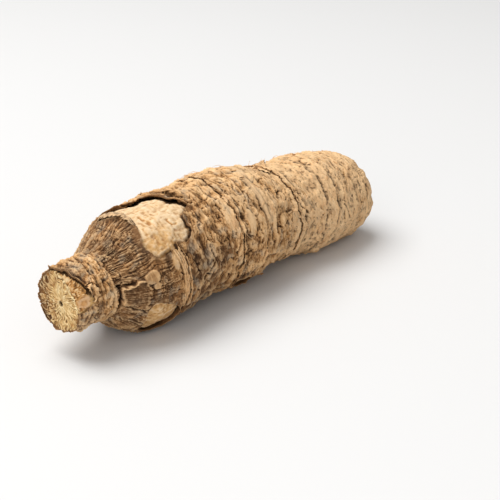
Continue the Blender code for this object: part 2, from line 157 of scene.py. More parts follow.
def skinPoints(place, turn, lift, floor=0.02):  # lift is measured square to the skin
    along, share = walkRound(place)
    radius, sideways, height = middleLine(along)
    nextAlong, nextShare = walkRound(place + 0.05)
    rise = middleLine(nextAlong)[0] * nextShare - radius * share
    run = np.maximum(nextAlong - along, 0.002)
    slope = np.hypot(rise, run)
    out = share * plainRadius(along, turn) + lift * run / slope
    x = along - lift * rise / slope
    y = sideways - out * np.sin(turn)
    z = height + out * np.cos(turn)
    z = np.maximum(z, floor)
    return np.stack([x - middleX, y - body["middleY"], z], -1) * mm


def unrolled(place, turn):  # the skin laid flat, with the seam on the hidden side
    wrapped = (turn + math.radians(160)) % math.tau - math.radians(160)
    return place, wrapped * flatRadius


def flat(places):
    return [(place, math.radians(turn) * flatRadius) for place, turn in places]


def lineDistance(x, y, points):
    nearest = np.full(x.shape, np.inf)
    for (ax, ay), (bx, by) in zip(points, points[1:]):
        run = (bx - ax) ** 2 + (by - ay) ** 2
        t = np.clip(((x - ax) * (bx - ax) + (y - ay) * (by - ay)) / run, 0, 1)
        away = np.hypot(x - ax - t * (bx - ax), y - ay - t * (by - ay))
        nearest = np.minimum(nearest, away)
    return nearest


def depthInside(x, y, points):  # above 0 inside a closed outline, below 0 outside
    closed = points + points[:1]
    inside = np.zeros(x.shape, bool)
    for (ax, ay), (bx, by) in zip(closed, closed[1:]):
        crosses = (ay > y) != (by > y)
        rise = by - ay if by != ay else 1.0
        inside ^= crosses & (x < ax + (y - ay) / rise * (bx - ax))
    edge = lineDistance(x, y, closed)
    return np.where(inside, edge, -edge)


# Where the bark is gone and the pale flesh shows
peelings = {
    "upper": [
        (24.0, -24), (27.5, -33), (32, -35), (34, -26), (36.8, -22), (38.6, -13), (42.5, -18),
        (45, -10), (45.5, -1), (45.4, 10), (47.5, 16), (49.4, 26), (47, 29.5), (44.5, 33),
        (43.7, 38), (43.9, 45), (44.2, 50), (42.1, 55), (39.7, 57.5), (37.9, 54), (35.6, 52.5),
        (35.2, 59.5), (33.3, 57), (30.6, 58.5), (28.4, 60), (26.6, 57), (25.8, 53), (24.4, 45),
        (24.3, 39), (25.8, 28), (26.7, 19), (28, 10), (27, 0), (25.5, -10),
    ],
    "lower": [
        (21.3, 110), (23.3, 101), (26.1, 103), (30.5, 108), (33.6, 115), (36.5, 125),
        (36.8, 140), (33, 151), (26, 154), (22.3, 148), (21.6, 130), (21.4, 119),
    ],
    "ovals": [(92, -90, 8.0, 4.5, 20), (52, -122, 6.0, 3.5, 10), (132, -64, 4.5, 3.0, 0),
              (72, 138, 6.5, 3.5, 15)],
    "wander": 2.2,
    "fray": 0.28,
}


def ovalOutline(place, turn, halfLength, halfWidth, tilt):
    middle, lean = math.radians(turn) * flatRadius, math.radians(tilt)
    points = []
    for a in np.linspace(0, math.tau, 14, endpoint=False):
        x, y = halfLength * math.cos(a), halfWidth * math.sin(a)
        points.append((place + x * math.cos(lean) - y * math.sin(lean),
                       middle + x * math.sin(lean) + y * math.cos(lean)))
    return points


def bareDepth(x, y):  # how far inside a peeling, with frayed edges
    fine = peelings["fray"] * gradientNoise(x / 1.3, y / 1.3, 3, grainSeed + 20)
    shiftX = fine + 0.5 * peelings["fray"] * gradientNoise(x / 0.5, y / 0.5, 9, 4)
    shiftY = peelings["fray"] * gradientNoise(x / 1.3, y / 1.3, 5, grainSeed + 21)
    depth = np.maximum(
        depthInside(x + shiftX, y + shiftY, flat(peelings["upper"])),
        depthInside(x + shiftX, y + shiftY, flat(peelings["lower"])),
    )
    wanderX = peelings["wander"] * gradientNoise(x / 4, y / 4, 0, grainSeed)
    wanderY = peelings["wander"] * gradientNoise(x / 4, y / 4, 7, grainSeed)
    for oval in peelings["ovals"]:
        spot = depthInside(x + shiftX + wanderX, y + shiftY + wanderY, ovalOutline(*oval))
        depth = np.maximum(depth, spot)
    return depth


# The rings that old leaves left, and what else stands out on the bark
bark = {
    "thickness": 0.8,
    "heights": {"lumps": 0.42, "creases": 0.5, "folds": 0.52, "fineFolds": 0.36, "crumbs": 0.4,
                "fibres": 0.44, "threads": 0.22, "collar": 0.34, "layers": 0.42, "flakes": 0.33,
                "clefts": 0.8, "pits": 0.2, "finePits": 0.08, "frontRim": 1.05, "backRim": 0.6,
                "hollow": 1.05, "roots": 0.85, "grain": 0.12},
    "rings": [  # place, height, slant, turn of the slant
        (3.2, 0.5, 0.8, 40), (6.4, 0.7, 0.7, 90), (9.0, 0.8, 0.4, 20), (11.2, 0.5, 0.4, 140),
        (35.0, 0.6, 1.2, 80), (53.0, 0.6, 1.6, 150), (59.0, 0.5, 1.8, 60),
        (65.5, 0.6, 1.3, 20), (75.5, 0.8, 1.6, 60), (81.5, 1.0, 1.8, 30),
        (90.5, 0.4, 2.4, 120), (100.0, 0.7, 1.6, 100), (111.0, 0.4, 2.2, 40),
        (117.5, 0.6, 2.0, 10), (129.5, 0.8, 1.8, 60), (139.0, 0.5, 1.6, 140),
    ],
    "cracks": [  # depth, half width, and the places that each runs through
        (1.5, 0.6, [(12.6, 74), (13.0, 90), (13.2, 104), (12.1, 119)]),
        (1.2, 0.5, [(13.2, 104), (15.5, 107), (19, 109), (21, 114)]),
        (1.4, 0.45, [(44.8, 99), (46.1, 95), (48.4, 98)]),
        (1.1, 0.5, [(50, 76), (50.5, 88), (48, 94)]),
        (0.9, 0.4, [(48.5, 46), (49.1, 54), (50, 67)]),
        (1.7, 0.9, [(94.5, 1), (94.8, 9), (95.6, 18)]),
        (1.1, 0.55, [(99.8, 49), (99.4, 57), (100.4, 69), (104.5, 78)]),
        (1.3, 0.7, [(109, -2), (111.3, 9), (112.1, 18)]),
        (1.2, 0.6, [(57.2, -2), (58.7, 4), (59.2, 9)]),
        (1.2, 0.6, [(63.4, 1), (64.1, 8), (63.7, 16)]),
        (1.5, 0.55, [(64.7, 33), (64.9, 39), (65.7, 46), (66.3, 55), (65.4, 64), (64.9, 76), (63.9, 83),
                     (61.5, 96)]),
        (1.3, 0.6, [(49.1, 17), (50.1, 23), (52.0, 26)]),
        (1.2, 0.6, [(50.7, 84), (52.1, 92), (51.4, 97)]),
        (1.0, 0.5, [(80, -120), (84, -100), (83, -70)]),
        (1.1, 0.5, [(116, -150), (119, -120), (117, -95)]),
        (1.2, 0.5, [(74, 84), (76, 97), (75, 110)]),
        (1.1, 0.5, [(124, 62), (123, 78), (126, 96)]),
        (1.1, 0.5, [(38, -72), (41, -92), (40, -118)]),
    ],
    "plate": [(13.9, 80), (16, 75.5), (19, 73.5), (20.8, 76), (21.9, 83), (21.2, 92),
              (20.7, 106), (16.5, 103), (14.3, 104), (13.8, 92)],
    "plateRims": [
        [(14.5, 103), (14.1, 92), (13.9, 82), (15.5, 76.5), (18, 74.5), (20.4, 74.5)],
        [(20.8, 77), (21.9, 84), (21.4, 93), (20.7, 106)],
    ],
    "disc": (22.9, 72.5, 2.7),
    "knots": [(13.0, 22, 1.6, 0.35)],
    "chunk": [(0.9, 56), (3.1, 54), (5.1, 64), (4.8, 78), (2.6, 86), (1.4, 72)],
    "stack": [(50, 33.8), (57, 34.6), (72, 36.3), (88, 36.7), (101, 37.0), (120, 38.3), (130, 38.6)],
    "paleStrip": [(8.8, -2), (9.3, 20), (9.9, 43), (10.1, 63), (9.8, 84), (9.2, 101)],
    "straw": [(83.4, -22), (82.2, 7), (81.2, 15), (79.8, 26), (79.4, 46), (80.5, 70)],
    "tanPlates": [(62.9, 55, 2.0, 5.0, 0), (62.4, 16, 1.3, 2.6, 20), (70.5, 66, 2.4, 4.6, 0),
                  (32.9, 67, 1.6, 3.6, 10)],
    "rootSeed": 5,
    "roots": 17,
}


def rootScars():
    draw = np.random.RandomState(bark["rootSeed"])
    scars = []
    while len(scars) < bark["roots"]:
        place, turn = draw.uniform(24, 138), math.radians(180 + draw.normal(0, 34))
        radius = draw.uniform(1.5, 2.3)
        apart = [math.hypot(place - p, (turn - t) * flatRadius) > 2.2 * (radius + r)
                 for p, t, r in scars]
        if all(apart):
            scars.append((place, turn, radius))
    return scars


def awayFrom(place, turn, spot, spotTurn):  # in millimetres along the skin
    off = (turn - spotTurn + math.pi) % math.tau - math.pi
    return np.hypot(place - spot, off * flatRadius)


def ringRelief(place, turn):
    relief = np.zeros(place.shape)
    for spot, height, slant, slantTurn in bark["rings"]:
        edge = spot + slant * np.cos(turn - math.radians(slantTurn))
        edge = edge + 0.7 * roundWander(turn, 5, grainSeed + int(spot))
        edge = edge + 0.25 * roundWander(turn, 1.4, 70 + int(spot))
        past = place - edge
        strength = 0.75 + 0.5 * roundWander(turn, 9, 40 + int(spot))
        rise = np.exp(np.minimum(past, 0) / 2.2) * (1 - fade(past, 0, 0.6))
        groove = fade(past, 0, 0.6) * np.exp(-np.maximum(past - 0.6, 0) / 1.2)
        relief += height * strength * (rise - 0.8 * groove)
    return relief


def tornPlaces(x, y, seed):  # the flat skin with small wanderings, so that outlines look torn
    shiftX = 0.45 * gradientNoise(x / 1.6, y / 1.6, 2, seed)
    shiftX += 0.2 * gradientNoise(x / 0.6, y / 0.6, 5, seed)
    shiftY = 0.45 * gradientNoise(x / 1.6, y / 1.6, 8, seed)
    return x + shiftX, y + shiftY


def lineRidge(x, y, points, width):
    return bell(lineDistance(x, y, flat(points)), width)


def barkRelief(place, turn):
    high = bark["heights"]
    noise, crests = partial(skinNoise, place, turn), partial(ridges, place, turn)
    x, y = unrolled(place, turn)
    tornX, tornY = tornPlaces(x, y, 120)
    degrees = np.degrees(y / flatRadius)
    neck = 1 - fade(place, 9.5, 11.5)
    shoulder = fade(place, 10.5, 13) * (1 - fade(place, 29, 36))
    girdle = fade(place, 30, 38)
    rear = fade(place, 88, 104)
    calm = fade(degrees, 70, 92) * fade(place, 37, 40) * (1 - fade(place, 58, 66))
    calm = np.maximum(calm, 0.75 * rear)

    bendA = noise(12, 9, 101)
    bendB = noise(13, 10, 102)
    relief = ringRelief(place, turn) * (1 - 0.65 * neck)
    relief += (high["lumps"] - 0.15 * rear) * noise(6, 4, grainSeed + 3)
    creases = 1 - 2 * np.abs(noise(9, 5, grainSeed + 6))
    relief += (high["creases"] - 0.25 * rear) * creases * fade(place, 30, 50)

    # Lengthwise folds that fan out over the shoulder, and crumbs between them
    sway = turn + 0.10 * bendA + 0.05 * noise(3.5, 4, 103)
    folds = ridges(place, sway, 10, 1.05, 104) - 0.5
    fineFolds = ridges(place, sway, 7, 0.6, 105) - 0.5
    crumbs = crests(0.9, 0.9, 131) - 0.5
    strength = 0.6 + 0.5 * noise(7, 6, 106)
    relief += shoulder * (high["folds"] * strength * folds + high["fineFolds"] * fineFolds)
    crumbled = fade(noise(4, 5, 132), -0.1, 0.3)
    relief += shoulder * high["crumbs"] * crumbs * crumbled

    # Fibres round the body, crossed by slanting ones
    swayed = place + 2.4 * bendA + 0.25 * noise(2.5, 4, 107)
    hoops = ridges(swayed, turn, 0.85, 9, 108)
    slantOne = ridges(place, turn + 0.11 * place + 0.12 * bendB, 8, 0.72, 109)
    slantTwo = ridges(place, turn - 0.07 * place + 0.12 * bendA, 8, 0.72, 110)
    threads = ridges(swayed + 0.9 * bendB, turn + 0.03 * place, 0.6, 5, 130)
    which = noise(4, 5, 111)
    crossed = np.where(which > 0, slantOne, slantTwo) * fade(np.abs(which), 0.02, 0.2)
    fibres = np.maximum(hoops, 0.95 * crossed)
    roughness = 0.8 + 0.6 * noise(7, 7, 112)
    matted = high["fibres"] * (fibres**1.5 - 0.35) + high["threads"] * (threads - 0.4)
    matted *= roughness
    relief += girdle * (1 - 0.45 * calm) * (1 - 0.5 * rear) * matted
    collar = ridges(place + 0.9 * bendA + 0.04 * y, turn, 0.8, 14, 113) - 0.4
    splits = ridges(place, sway, 3, 1.3, 133) - 0.4
    layered = 2.2 * skinNoise(place + 0.4 * bendA, turn, 1.9, 7, 136)
    layered = np.floor(layered) + fade(layered - np.floor(layered), 0.75, 1)
    relief += neck * (high["collar"] * collar + 0.08 * splits)
    relief += neck * high["layers"] * layered * (1 - 0.6 * fade(place, 6, 9))
    relief += rear * 0.2 * (crests(2.4, 3.6, 114) - 0.5)

    # Layers that broke away in flakes
    layers = 1.5 * skinNoise(place + 1.2 * bendB, turn, 3.2, 4.5, 115) + 0.8 * bendB
    layers += 0.4 * noise(1.1, 1.6, 116)
    step = layers * 1.7
    flake = np.floor(step) + fade(step - np.floor(step), 0.88, 1.0)
    flaky = (0.5 + 0.5 * girdle - 0.3 * calm - 0.1 * neck) * (1 - 0.5 * rear)
    relief += high["flakes"] * flake * flaky

    # Short cracks and small pits
    split = np.abs(skinNoise(place + bendB, turn, 3.0, 7, 117))
    where = fade(noise(5, 5, 118), 0.0, 0.25)
    cleft = (1 - fade(split, 0.012, 0.06)) * where * (0.5 + 0.5 * girdle)
    cleft = cleft * (1 - 0.6 * rear)
    relief -= high["clefts"] * cleft
    pits = fade(noise(1.1, 1.1, 119), 0.42, 0.68)
    relief -= pits * (high["pits"] + 0.15 * rear)
    finePits = fade(noise(0.6, 0.7, 134), 0.4, 0.65)
    relief -= high["finePits"] * finePits

    gape = 0.75 + 1.0 * noise(2.2, 2.6, 137)
    for depth, halfWidth, places in bark["cracks"]:
        away = lineDistance(tornX + 0.6 * bendB, tornY, flat(places)) / np.clip(gape, 0.2, 1.7)
        inside = 1 - fade(away, 0.25 * halfWidth, 1.3 * halfWidth)
        relief -= depth * np.clip(gape, 0.15, 1.1) * inside
        relief += 0.25 * bell(away - 1.8 * halfWidth, 0.6)

    # The scallop of loose bark on the shoulder: thin raised rims round a sunk, wrinkled inside
    roamX = tornX + 0.8 * gradientNoise(x / 2.6, y / 2.6, 4, 138)
    roamY = tornY + 0.8 * gradientNoise(x / 2.6, y / 2.6, 9, 138)
    plate = depthInside(roamX, roamY, flat(bark["plate"]))
    onPlate = fade(plate, -0.2, 0.4)
    wrinkles = ridges(place, turn + 0.06 * bendA, 4, 0.75, 121) - 0.5
    plateTop = 0.3 + 0.24 * wrinkles + 0.16 * crumbs
    relief = relief * (1 - 0.85 * onPlate) + plateTop * onPlate
    frontRim = lineRidge(roamX, roamY, bark["plateRims"][0], 0.34)
    backRim = lineRidge(roamX, roamY, bark["plateRims"][1], 0.4)
    relief += high["frontRim"] * frontRim + high["backRim"] * backRim
    hollow = bell(plate + 0.95, 0.55) * fade(17.5 - x, -1, 2)
    relief -= high["hollow"] * hollow

    # The round scar beside it, the knot and the smooth tan plates
    discPlace, discTurn, discRadius = bark["disc"]
    disc = awayFrom(place, turn, discPlace, math.radians(discTurn))
    disc = disc * (1 + 0.13 * gradientNoise(x / 2.2, y / 2.2, 4, 122))
    lobe = awayFrom(place, turn, discPlace + 0.9, math.radians(discTurn + 9.5))
    disc = np.minimum(disc, lobe + 1.2)
    onDisc = 1 - fade(disc, discRadius - 0.45, discRadius)
    discTop = 0.62 + 0.16 * noise(1.2, 1.2, 123)
    relief = relief * (1 - onDisc) + discTop * onDisc
    for spot, spotTurn, radius, height in bark["knots"]:
        knot = awayFrom(place, turn, spot, math.radians(spotTurn)) / radius
        knot = knot * (1 + 0.9 * noise(1.0, 1.6, 124))
        relief += height * np.exp(-(knot**4)) - 0.9 * height * bell(knot - 1.45, 0.3)
    smoothPlates = np.zeros(place.shape)
    for spot in bark["tanPlates"]:
        oval = depthInside(tornX + 0.6 * bendA, tornY + 0.6 * bendB, ovalOutline(*spot))
        smoothPlates = np.maximum(smoothPlates, fade(oval, -0.1, 0.4))
    smoothTop = 0.5 + 0.14 * noise(2, 4, 125)
    relief = relief * (1 - 0.8 * smoothPlates) + smoothTop * 0.8 * smoothPlates
    chunk = depthInside(tornX, tornY, flat(bark["chunk"]))
    relief += 0.7 * fade(chunk, -0.15, 0.3) - 0.9 * bell(chunk + 0.5, 0.3)

    # The stack of thin ridges where the shoulder ends
    stack = x - smoothThrough(degrees, *np.array(bark["stack"], float).T)
    onStack = fade(degrees, 50, 60) * (1 - fade(degrees, 116, 128))
    onStack = onStack * fade(stack, -2.2, -1.6) * (1 - fade(stack, 1.3, 1.9))
    waves = np.cos(math.tau * (stack + 0.4 * bendA + 0.1 * crumbs) / 0.85)
    stackTop = 0.35 + 0.6 * (0.5 + 0.5 * waves)
    relief = relief * (1 - 0.8 * onStack) + stackTop * onStack

    # A pale strip of straw-like fibres
    strip = lineDistance(x + 0.35 * bendA, y, flat(bark["straw"]))
    straw = 1 - fade(strip, 0.7, 1.7)
    strawTop = 0.55 + 0.3 * (ridges(place + 0.3 * bendA - 0.06 * y, turn, 0.8, 16, 146) - 0.4)
    relief = relief * (1 - 0.85 * straw) + strawTop * straw

    # Rimmed scars of cut roots on the underside
    roots = np.zeros(place.shape)
    for spot, spotTurn, radius in rootScars():
        away = awayFrom(place, turn, spot, spotTurn) / radius
        away = away * (1 + 0.15 * gradientNoise(x / 1.5, y / 1.5, spot, 135))
        rim = (1 - fade(away, 0.75, 1.1)) - 1.25 * (1 - fade(away, 0.3, 0.62))
        core = 0.9 * (1 - fade(away, 0.08, 0.2))
        relief += high["roots"] * (rim + core)
        roots = np.maximum(roots, 1 - fade(away, 0.5, 1.2))

    relief += high["grain"] * noise(0.45, 1.6, 126) * (1 - 0.5 * smoothPlates)

    paleStrip = lineRidge(tornX, tornY, bark["paleStrip"], 0.9)
    tone = 0.47 + 0.16 * bendB + 0.1 * np.floor(step) + 0.22 * (fibres - 0.45) * girdle
    tone += 0.22 * noise(2.2, 4.2, 127) - 0.19 * shoulder - 0.22 * calm * (1 - rear)
    tone -= 0.22 * shoulder * fade(noise(4.5, 5.5, 147), 0.05, 0.5)
    tone += 0.21 * girdle + 0.17 * fade(place, 50, 64) + 0.46 * fade(place, 84, 100)
    # Painted shade in the hollow beside the plate and on the lower front side of the girdle
    tone -= 0.3 * hollow + 0.18 * girdle * fade(degrees, 45, 85) * (1 - rear)
    tone -= 0.12 * fade(place, 37, 44) * (1 - fade(place, 52, 62))
    tone += 0.35 * onDisc - 0.2 * onPlate + 0.25 * smoothPlates + 0.1 * neck
    tone += 0.3 * fade(chunk, -0.1, 0.3)
    tone += 0.3 * (frontRim + backRim) + 0.4 * straw + 0.25 * onStack + 0.3 * paleStrip - 0.2 * roots
    # Painted light on the far upper side, which faces the lamp; painted shade in clefts and pits
    tone += 0.05 * fade(degrees, 25, -20) - 0.45 * cleft - 0.15 * pits
    # Painted shade on the bark beside the peelings' edges; the rear is a little darker away from pits
    tone -= 0.22 * np.exp(-np.maximum(-bareDepth(x, y), 0) / 1.3) + 0.1 * rear * (1 - pits)
    grey = 0.16 + 0.45 * noise(3, 3.5, 128) + 0.3 * shoulder + 0.3 * calm * (1 - rear)
    grey += 0.3 * fade(np.abs(degrees), 110, 150) - 0.4 * rear - 0.5 * smoothPlates
    underNeck = fade(degrees, 84, 100) * (1 - fade(place, 5, 8)) * neck
    topNeck = bell(degrees - 12, 16) * (1 - fade(place, 4, 7)) * neck
    blotch = 0.5 + 0.9 * noise(1.6, 3, 139)
    grey += (0.9 * underNeck + 0.9 * topNeck) * blotch - 0.2 * neck
    tone -= (0.3 * underNeck + 0.35 * topNeck) * blotch
    tone += neck * (0.25 * (layered - np.floor(layered)) - 0.2 * fade(blotch, 0.6, 1.0))
    ash = 0.7 * fade(noise(2.5, 3.5, 145), 0.1, 0.5) * (1 - 0.7 * rear)
    ash += (0.8 * topNeck + 0.5 * underNeck) * (1 - np.clip(blotch, 0, 1))
    ash += 0.35 * straw - 0.6 * onPlate - 0.25 * shoulder
    marks = {
        "tone": np.clip(tone, 0, 1),
        "soot": np.clip(grey + 0.4 * roots, 0, 1),
        "warm": np.clip(0.5 + 0.7 * noise(3, 4, 129), 0, 1),
        "ash": np.clip(ash, 0, 1),
    }
    return relief, marks


flesh = {
    "height": -1.05,
    "sunk": 2.4,
    "gouges": [  # depth, width, and the places that each runs through
        (0.45, 0.5, [(31.6, 10), (31.3, 16), (32.5, 20), (32.1, 24)]),
        (0.4, 0.35, [(38.8, 30), (39.1, 35), (40.6, 37)]),
        (0.4, 0.35, [(26.5, 121), (28.4, 119), (29.2, 122)]),
    ],
    "swells": [  # height, width, and the places that each runs through
        (0.4, 1.9, [(34.5, 24), (39.0, 21), (42.3, 27), (43.2, 36)]),
        (0.45, 1.8, [(28.2, 22), (29.5, 30), (31.5, 36)]),
        (0.3, 2.2, [(36, 40), (36.5, 48)]),
        (0.3, 2.2, [(33, -8), (38, 2), (41, 4)]),
    ],
}


def ochreZone(place, degrees):  # the browner part of the upper peeling
    return fade(41 - place, 1, 10) * fade(degrees, 22, 48)


def fleshRelief(place, turn):
    noise = partial(skinNoise, place, turn)
    x, y = unrolled(place, turn)
    bare = bareDepth(x, y)
    tornX, tornY = tornPlaces(x, y, 209)
    degrees = np.degrees(y / flatRadius)
    sway = turn + 0.08 * noise(6, 6, 201)
    relief = 0.45 * noise(6, 5, 202) + 0.22 * noise(2.6, 2.4, 203)
    relief += 0.1 * (ridges(place, sway, 5, 1.5, 204) - 0.5) * (0.6 + ochreZone(place, degrees))
    relief += 0.15 * noise(1.1, 1.0, 210)
    marked = np.zeros(place.shape)
    for depth, width, places in flesh["gouges"]:
        line = lineRidge(tornX, tornY, places, width)
        relief -= depth * line
        marked = np.maximum(marked, line * (0.35 + 0.8 * depth))
        below = [(a + 0.9, b + 2.2) for a, b in places]
        relief += 0.5 * depth * lineRidge(tornX, tornY, below, 1.0)
    for height, width, places in flesh["swells"]:
        relief += height * lineRidge(tornX, tornY, places, width)
    hollow = fade(noise(1.3, 1.5, 206), 0.52, 0.75)
    relief -= 0.18 * hollow
    relief += 0.07 * noise(0.5, 0.5, 207)
    wrinkles = ridges(place + 0.5 * noise(4, 4, 212), sway, 0.8, 3.2, 213)
    scuffed = fade(noise(3.5, 3.5, 214), -0.1, 0.35)
    relief += 0.16 * (wrinkles - 0.5) * scuffed
    height = flesh["height"] + relief - 0.35 * np.exp(-np.maximum(bare - 0.1, 0) / 0.4)
    height = height - flesh["sunk"] * fade(-bare, 1.4, 3.2)
    ochre = ochreZone(place, degrees)
    aged = fade(np.abs(degrees - 25), 62, 80)  # everything but the upper peeling is older
    stain = 0.5 * hollow + 1.5 * marked + 0.3 * noise(3, 3, 208) + 0.1
    stain = stain + (0.95 + 1.3 * noise(1.2, 2.2, 211)) * ochre + 0.5 * aged
    stain = stain + 0.3 * fade(place, 55, 60) + 0.4 * np.exp(-np.maximum(bare, 0) / 0.7)
    stain = stain + 0.2 * scuffed * (1 - wrinkles) - 0.25 * fade(place, 34, 42) * (1 - scuffed)
    # Painted shade: the flesh is painted dark in a band just inside the bark's edges, where the lifted
    # bark shades it
    shadeBand = 0.2 + 0.35 * noise(1.4, 1.8, 215) - 0.5 * (1 - fade(place, 27, 33))
    return height, np.clip(stain, 0, 1), fade(shadeBand - bare, 0.0, 0.3)


def blurred(field, cells):  # a mean over neighbours, closed round the body
    for axis, mode in ((0, "edge"), (1, "wrap")):
        pad = [(cells, cells) if k == axis else (0, 0) for k in range(2)]
        total = np.cumsum(np.pad(field, pad, mode=mode), axis=axis)
        total = np.insert(total, 0, 0, axis=axis)
        count = 2 * cells + 1
        after = np.take(total, range(count, total.shape[axis]), axis=axis)
        before = np.take(total, range(0, total.shape[axis] - count), axis=axis)
        field = (after - before) / count
    return field


def turnsRound(count, favoured=40.0, bias=0.35):  # closer together where they show most
    turns = np.linspace(-math.pi, math.pi, 4001)
    packed = turns + bias * np.sin(turns - math.radians(favoured))
    goal = np.linspace(packed[0], packed[-1], count, endpoint=False)
    return np.interp(goal, packed, turns)


def snapToEdge(place, turn, missing):
    # Moves the points next to the edge of what is missing onto that edge
    depth = missing(place, turn)
    snap = np.zeros(depth.shape, bool)
    for axis, way in ((0, 1), (0, -1), (1, 1), (1, -1)):
        other = np.roll(depth, way, axis=axis)
        crosses = (np.sign(other) != np.sign(depth)) & (np.abs(depth) <= np.abs(other))
        if axis == 0:
            crosses[0 if way == 1 else -1] = False
        snap |= crosses
    p, t = place[snap], turn[snap]
    nudge, radius = 0.02, flatRadius
    for _ in range(3):
        here = missing(p, t)
        slopeP = (missing(p + nudge, t) - here) / nudge
        slopeT = (missing(p, t + nudge / radius) - here) / nudge
        steep = np.maximum(slopeP**2 + slopeT**2, 0.3)
        p = p - np.clip(here * slopeP / steep, -0.25, 0.25)
        t = t - np.clip(here * slopeT / steep, -0.25, 0.25) / radius
    place, turn = place.copy(), turn.copy()
    place[snap], turn[snap] = p, t
    depth[snap] = 0
    return place, turn, depth


def keptFaces(depth):
    # Faces of the grid that are not missing, with a triangle where an edge cuts a corner
    rows, columns = depth.shape
    index = np.arange(rows * columns).reshape(rows, columns)
    after = np.roll(index, -1, axis=1)
    quads = np.stack([index[:-1], after[:-1], after[1:], index[1:]], -1).reshape(-1, 4)
    sign = np.sign(depth.ravel())[quads]
    whole = (sign.max(1) <= 0) & (sign.min(1) < 0)
    faces = [tuple(q) for q in quads[whole].tolist()]
    mixed = (sign.max(1) > 0) & (sign.min(1) < 0)
    for quad, signs in zip(quads[mixed].tolist(), sign[mixed]):
        for k in range(4):
            if signs[k] < 0 and signs[(k + 2) % 4] > 0:
                faces.append((quad[k - 1], quad[k], quad[(k + 1) % 4]))
    return faces


def closedSheet(faces, count):
    # Adds the inner side and the walls to the faces of an outer side
    edges = {}
    for face in faces:
        for a, b in zip(face, face[1:] + face[:1]):
            edges[(a, b)] = edges.get((a, b), 0) + 1
    walls = [(b, a, a + count, b + count) for a, b in edges if (b, a) not in edges]
    inner = [tuple(i + count for i in reversed(face)) for face in faces]
    return faces + inner + walls


def cappedTube(rowCount, columns):  # two more points close its ends
    faces = keptFaces(np.full((rowCount, columns), -1.0))
    first, last = rowCount * columns, rowCount * columns + 1
    for a in range(columns):
        b = (a + 1) % columns
        faces.append((first, b, a))
        faces.append((last, first - columns + a, first - columns + b))
    return faces


def makePiece(name, points, faces, fields, material, sharpAngle=60):
    used, packed = np.unique(np.concatenate([np.array(f) for f in faces]), return_inverse=True)
    sizes = np.cumsum([0] + [len(f) for f in faces])
    flatFaces = [tuple(packed[a:b].tolist()) for a, b in zip(sizes, sizes[1:])]
    mesh = bpy.data.meshes.new(name)
    mesh.from_pydata(points[used].tolist(), [], flatFaces)
    for key, values in fields.items():
        values = np.asarray(values, np.float32)[used]
        kind, prop = ("FLOAT", "value") if values.ndim == 1 else ("FLOAT_VECTOR", "vector")
        mesh.attributes.new(key, kind, "POINT").data.foreach_set(prop, values.ravel())
    mesh.shade_smooth()
    mesh.set_sharp_from_angle(angle=math.radians(sharpAngle))
    mesh.materials.append(material)
    piece = bpy.data.objects.new(name, mesh)
    bpy.context.scene.collection.objects.link(piece)
    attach(piece, "root")
    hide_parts("rhizome")
    triangles = sum(len(f) - 2 for f in flatFaces)
    print(f"{name}: {triangles} triangles")
    return piece


def skinPlace(place, turn):  # where a point is on the skin, for the materials' grain
    radius = flatRadius
    return np.stack([place, radius * np.cos(turn), radius * np.sin(turn)], -1)


# Materials: shared effects are node groups, and each material has its own values

def addNode(tree, kind, values=None, **settings):
    node = tree.nodes.new(kind)
    for key, value in settings.items():
        setattr(node, key, value)
    for key, value in (values or {}).items():
        socket = node.inputs[key]
        if isinstance(value, bpy.types.NodeSocket):
            tree.links.new(value, socket)
        else:
            socket.default_value = (*value, 1.0) if socket.type == "RGBA" else value
    return node


def ramp(tree, fac, stops):
    node = addNode(tree, "ShaderNodeValToRGB", {"Fac": fac})
    colours = node.color_ramp.elements
    while len(colours) < len(stops):
        colours.new(0.5)
    for element, (position, colour) in zip(colours, stops):
        element.position = position
        element.color = (*colour, 1.0)
    return node.outputs["Color"]


def maths(tree, operation, a, b=None, clamp=False):
    values = {0: a} if b is None else {0: a, 1: b}
    return addNode(tree, "ShaderNodeMath", values, operation=operation, use_clamp=clamp).outputs[0]


def mixColours(tree, fac, a, b):
    return addNode(tree, "ShaderNodeMix", {0: fac, 6: a, 7: b}, data_type="RGBA").outputs[2]


def attribute(tree, name, output="Fac"):
    return addNode(tree, "ShaderNodeAttribute", attribute_name=name).outputs[output]


def newGroup(name, inputs, outputs):
    group = bpy.data.node_groups.new(name, "ShaderNodeTree")
    for label, kind, value in inputs:
        socket = group.interface.new_socket(label, in_out="INPUT", socket_type=kind)
        if value is not None:
            socket.default_value = value
    for label, kind in outputs:
        group.interface.new_socket(label, in_out="OUTPUT", socket_type=kind)
    return group, group.nodes.new("NodeGroupInput").outputs, group.nodes.new("NodeGroupOutput").inputs


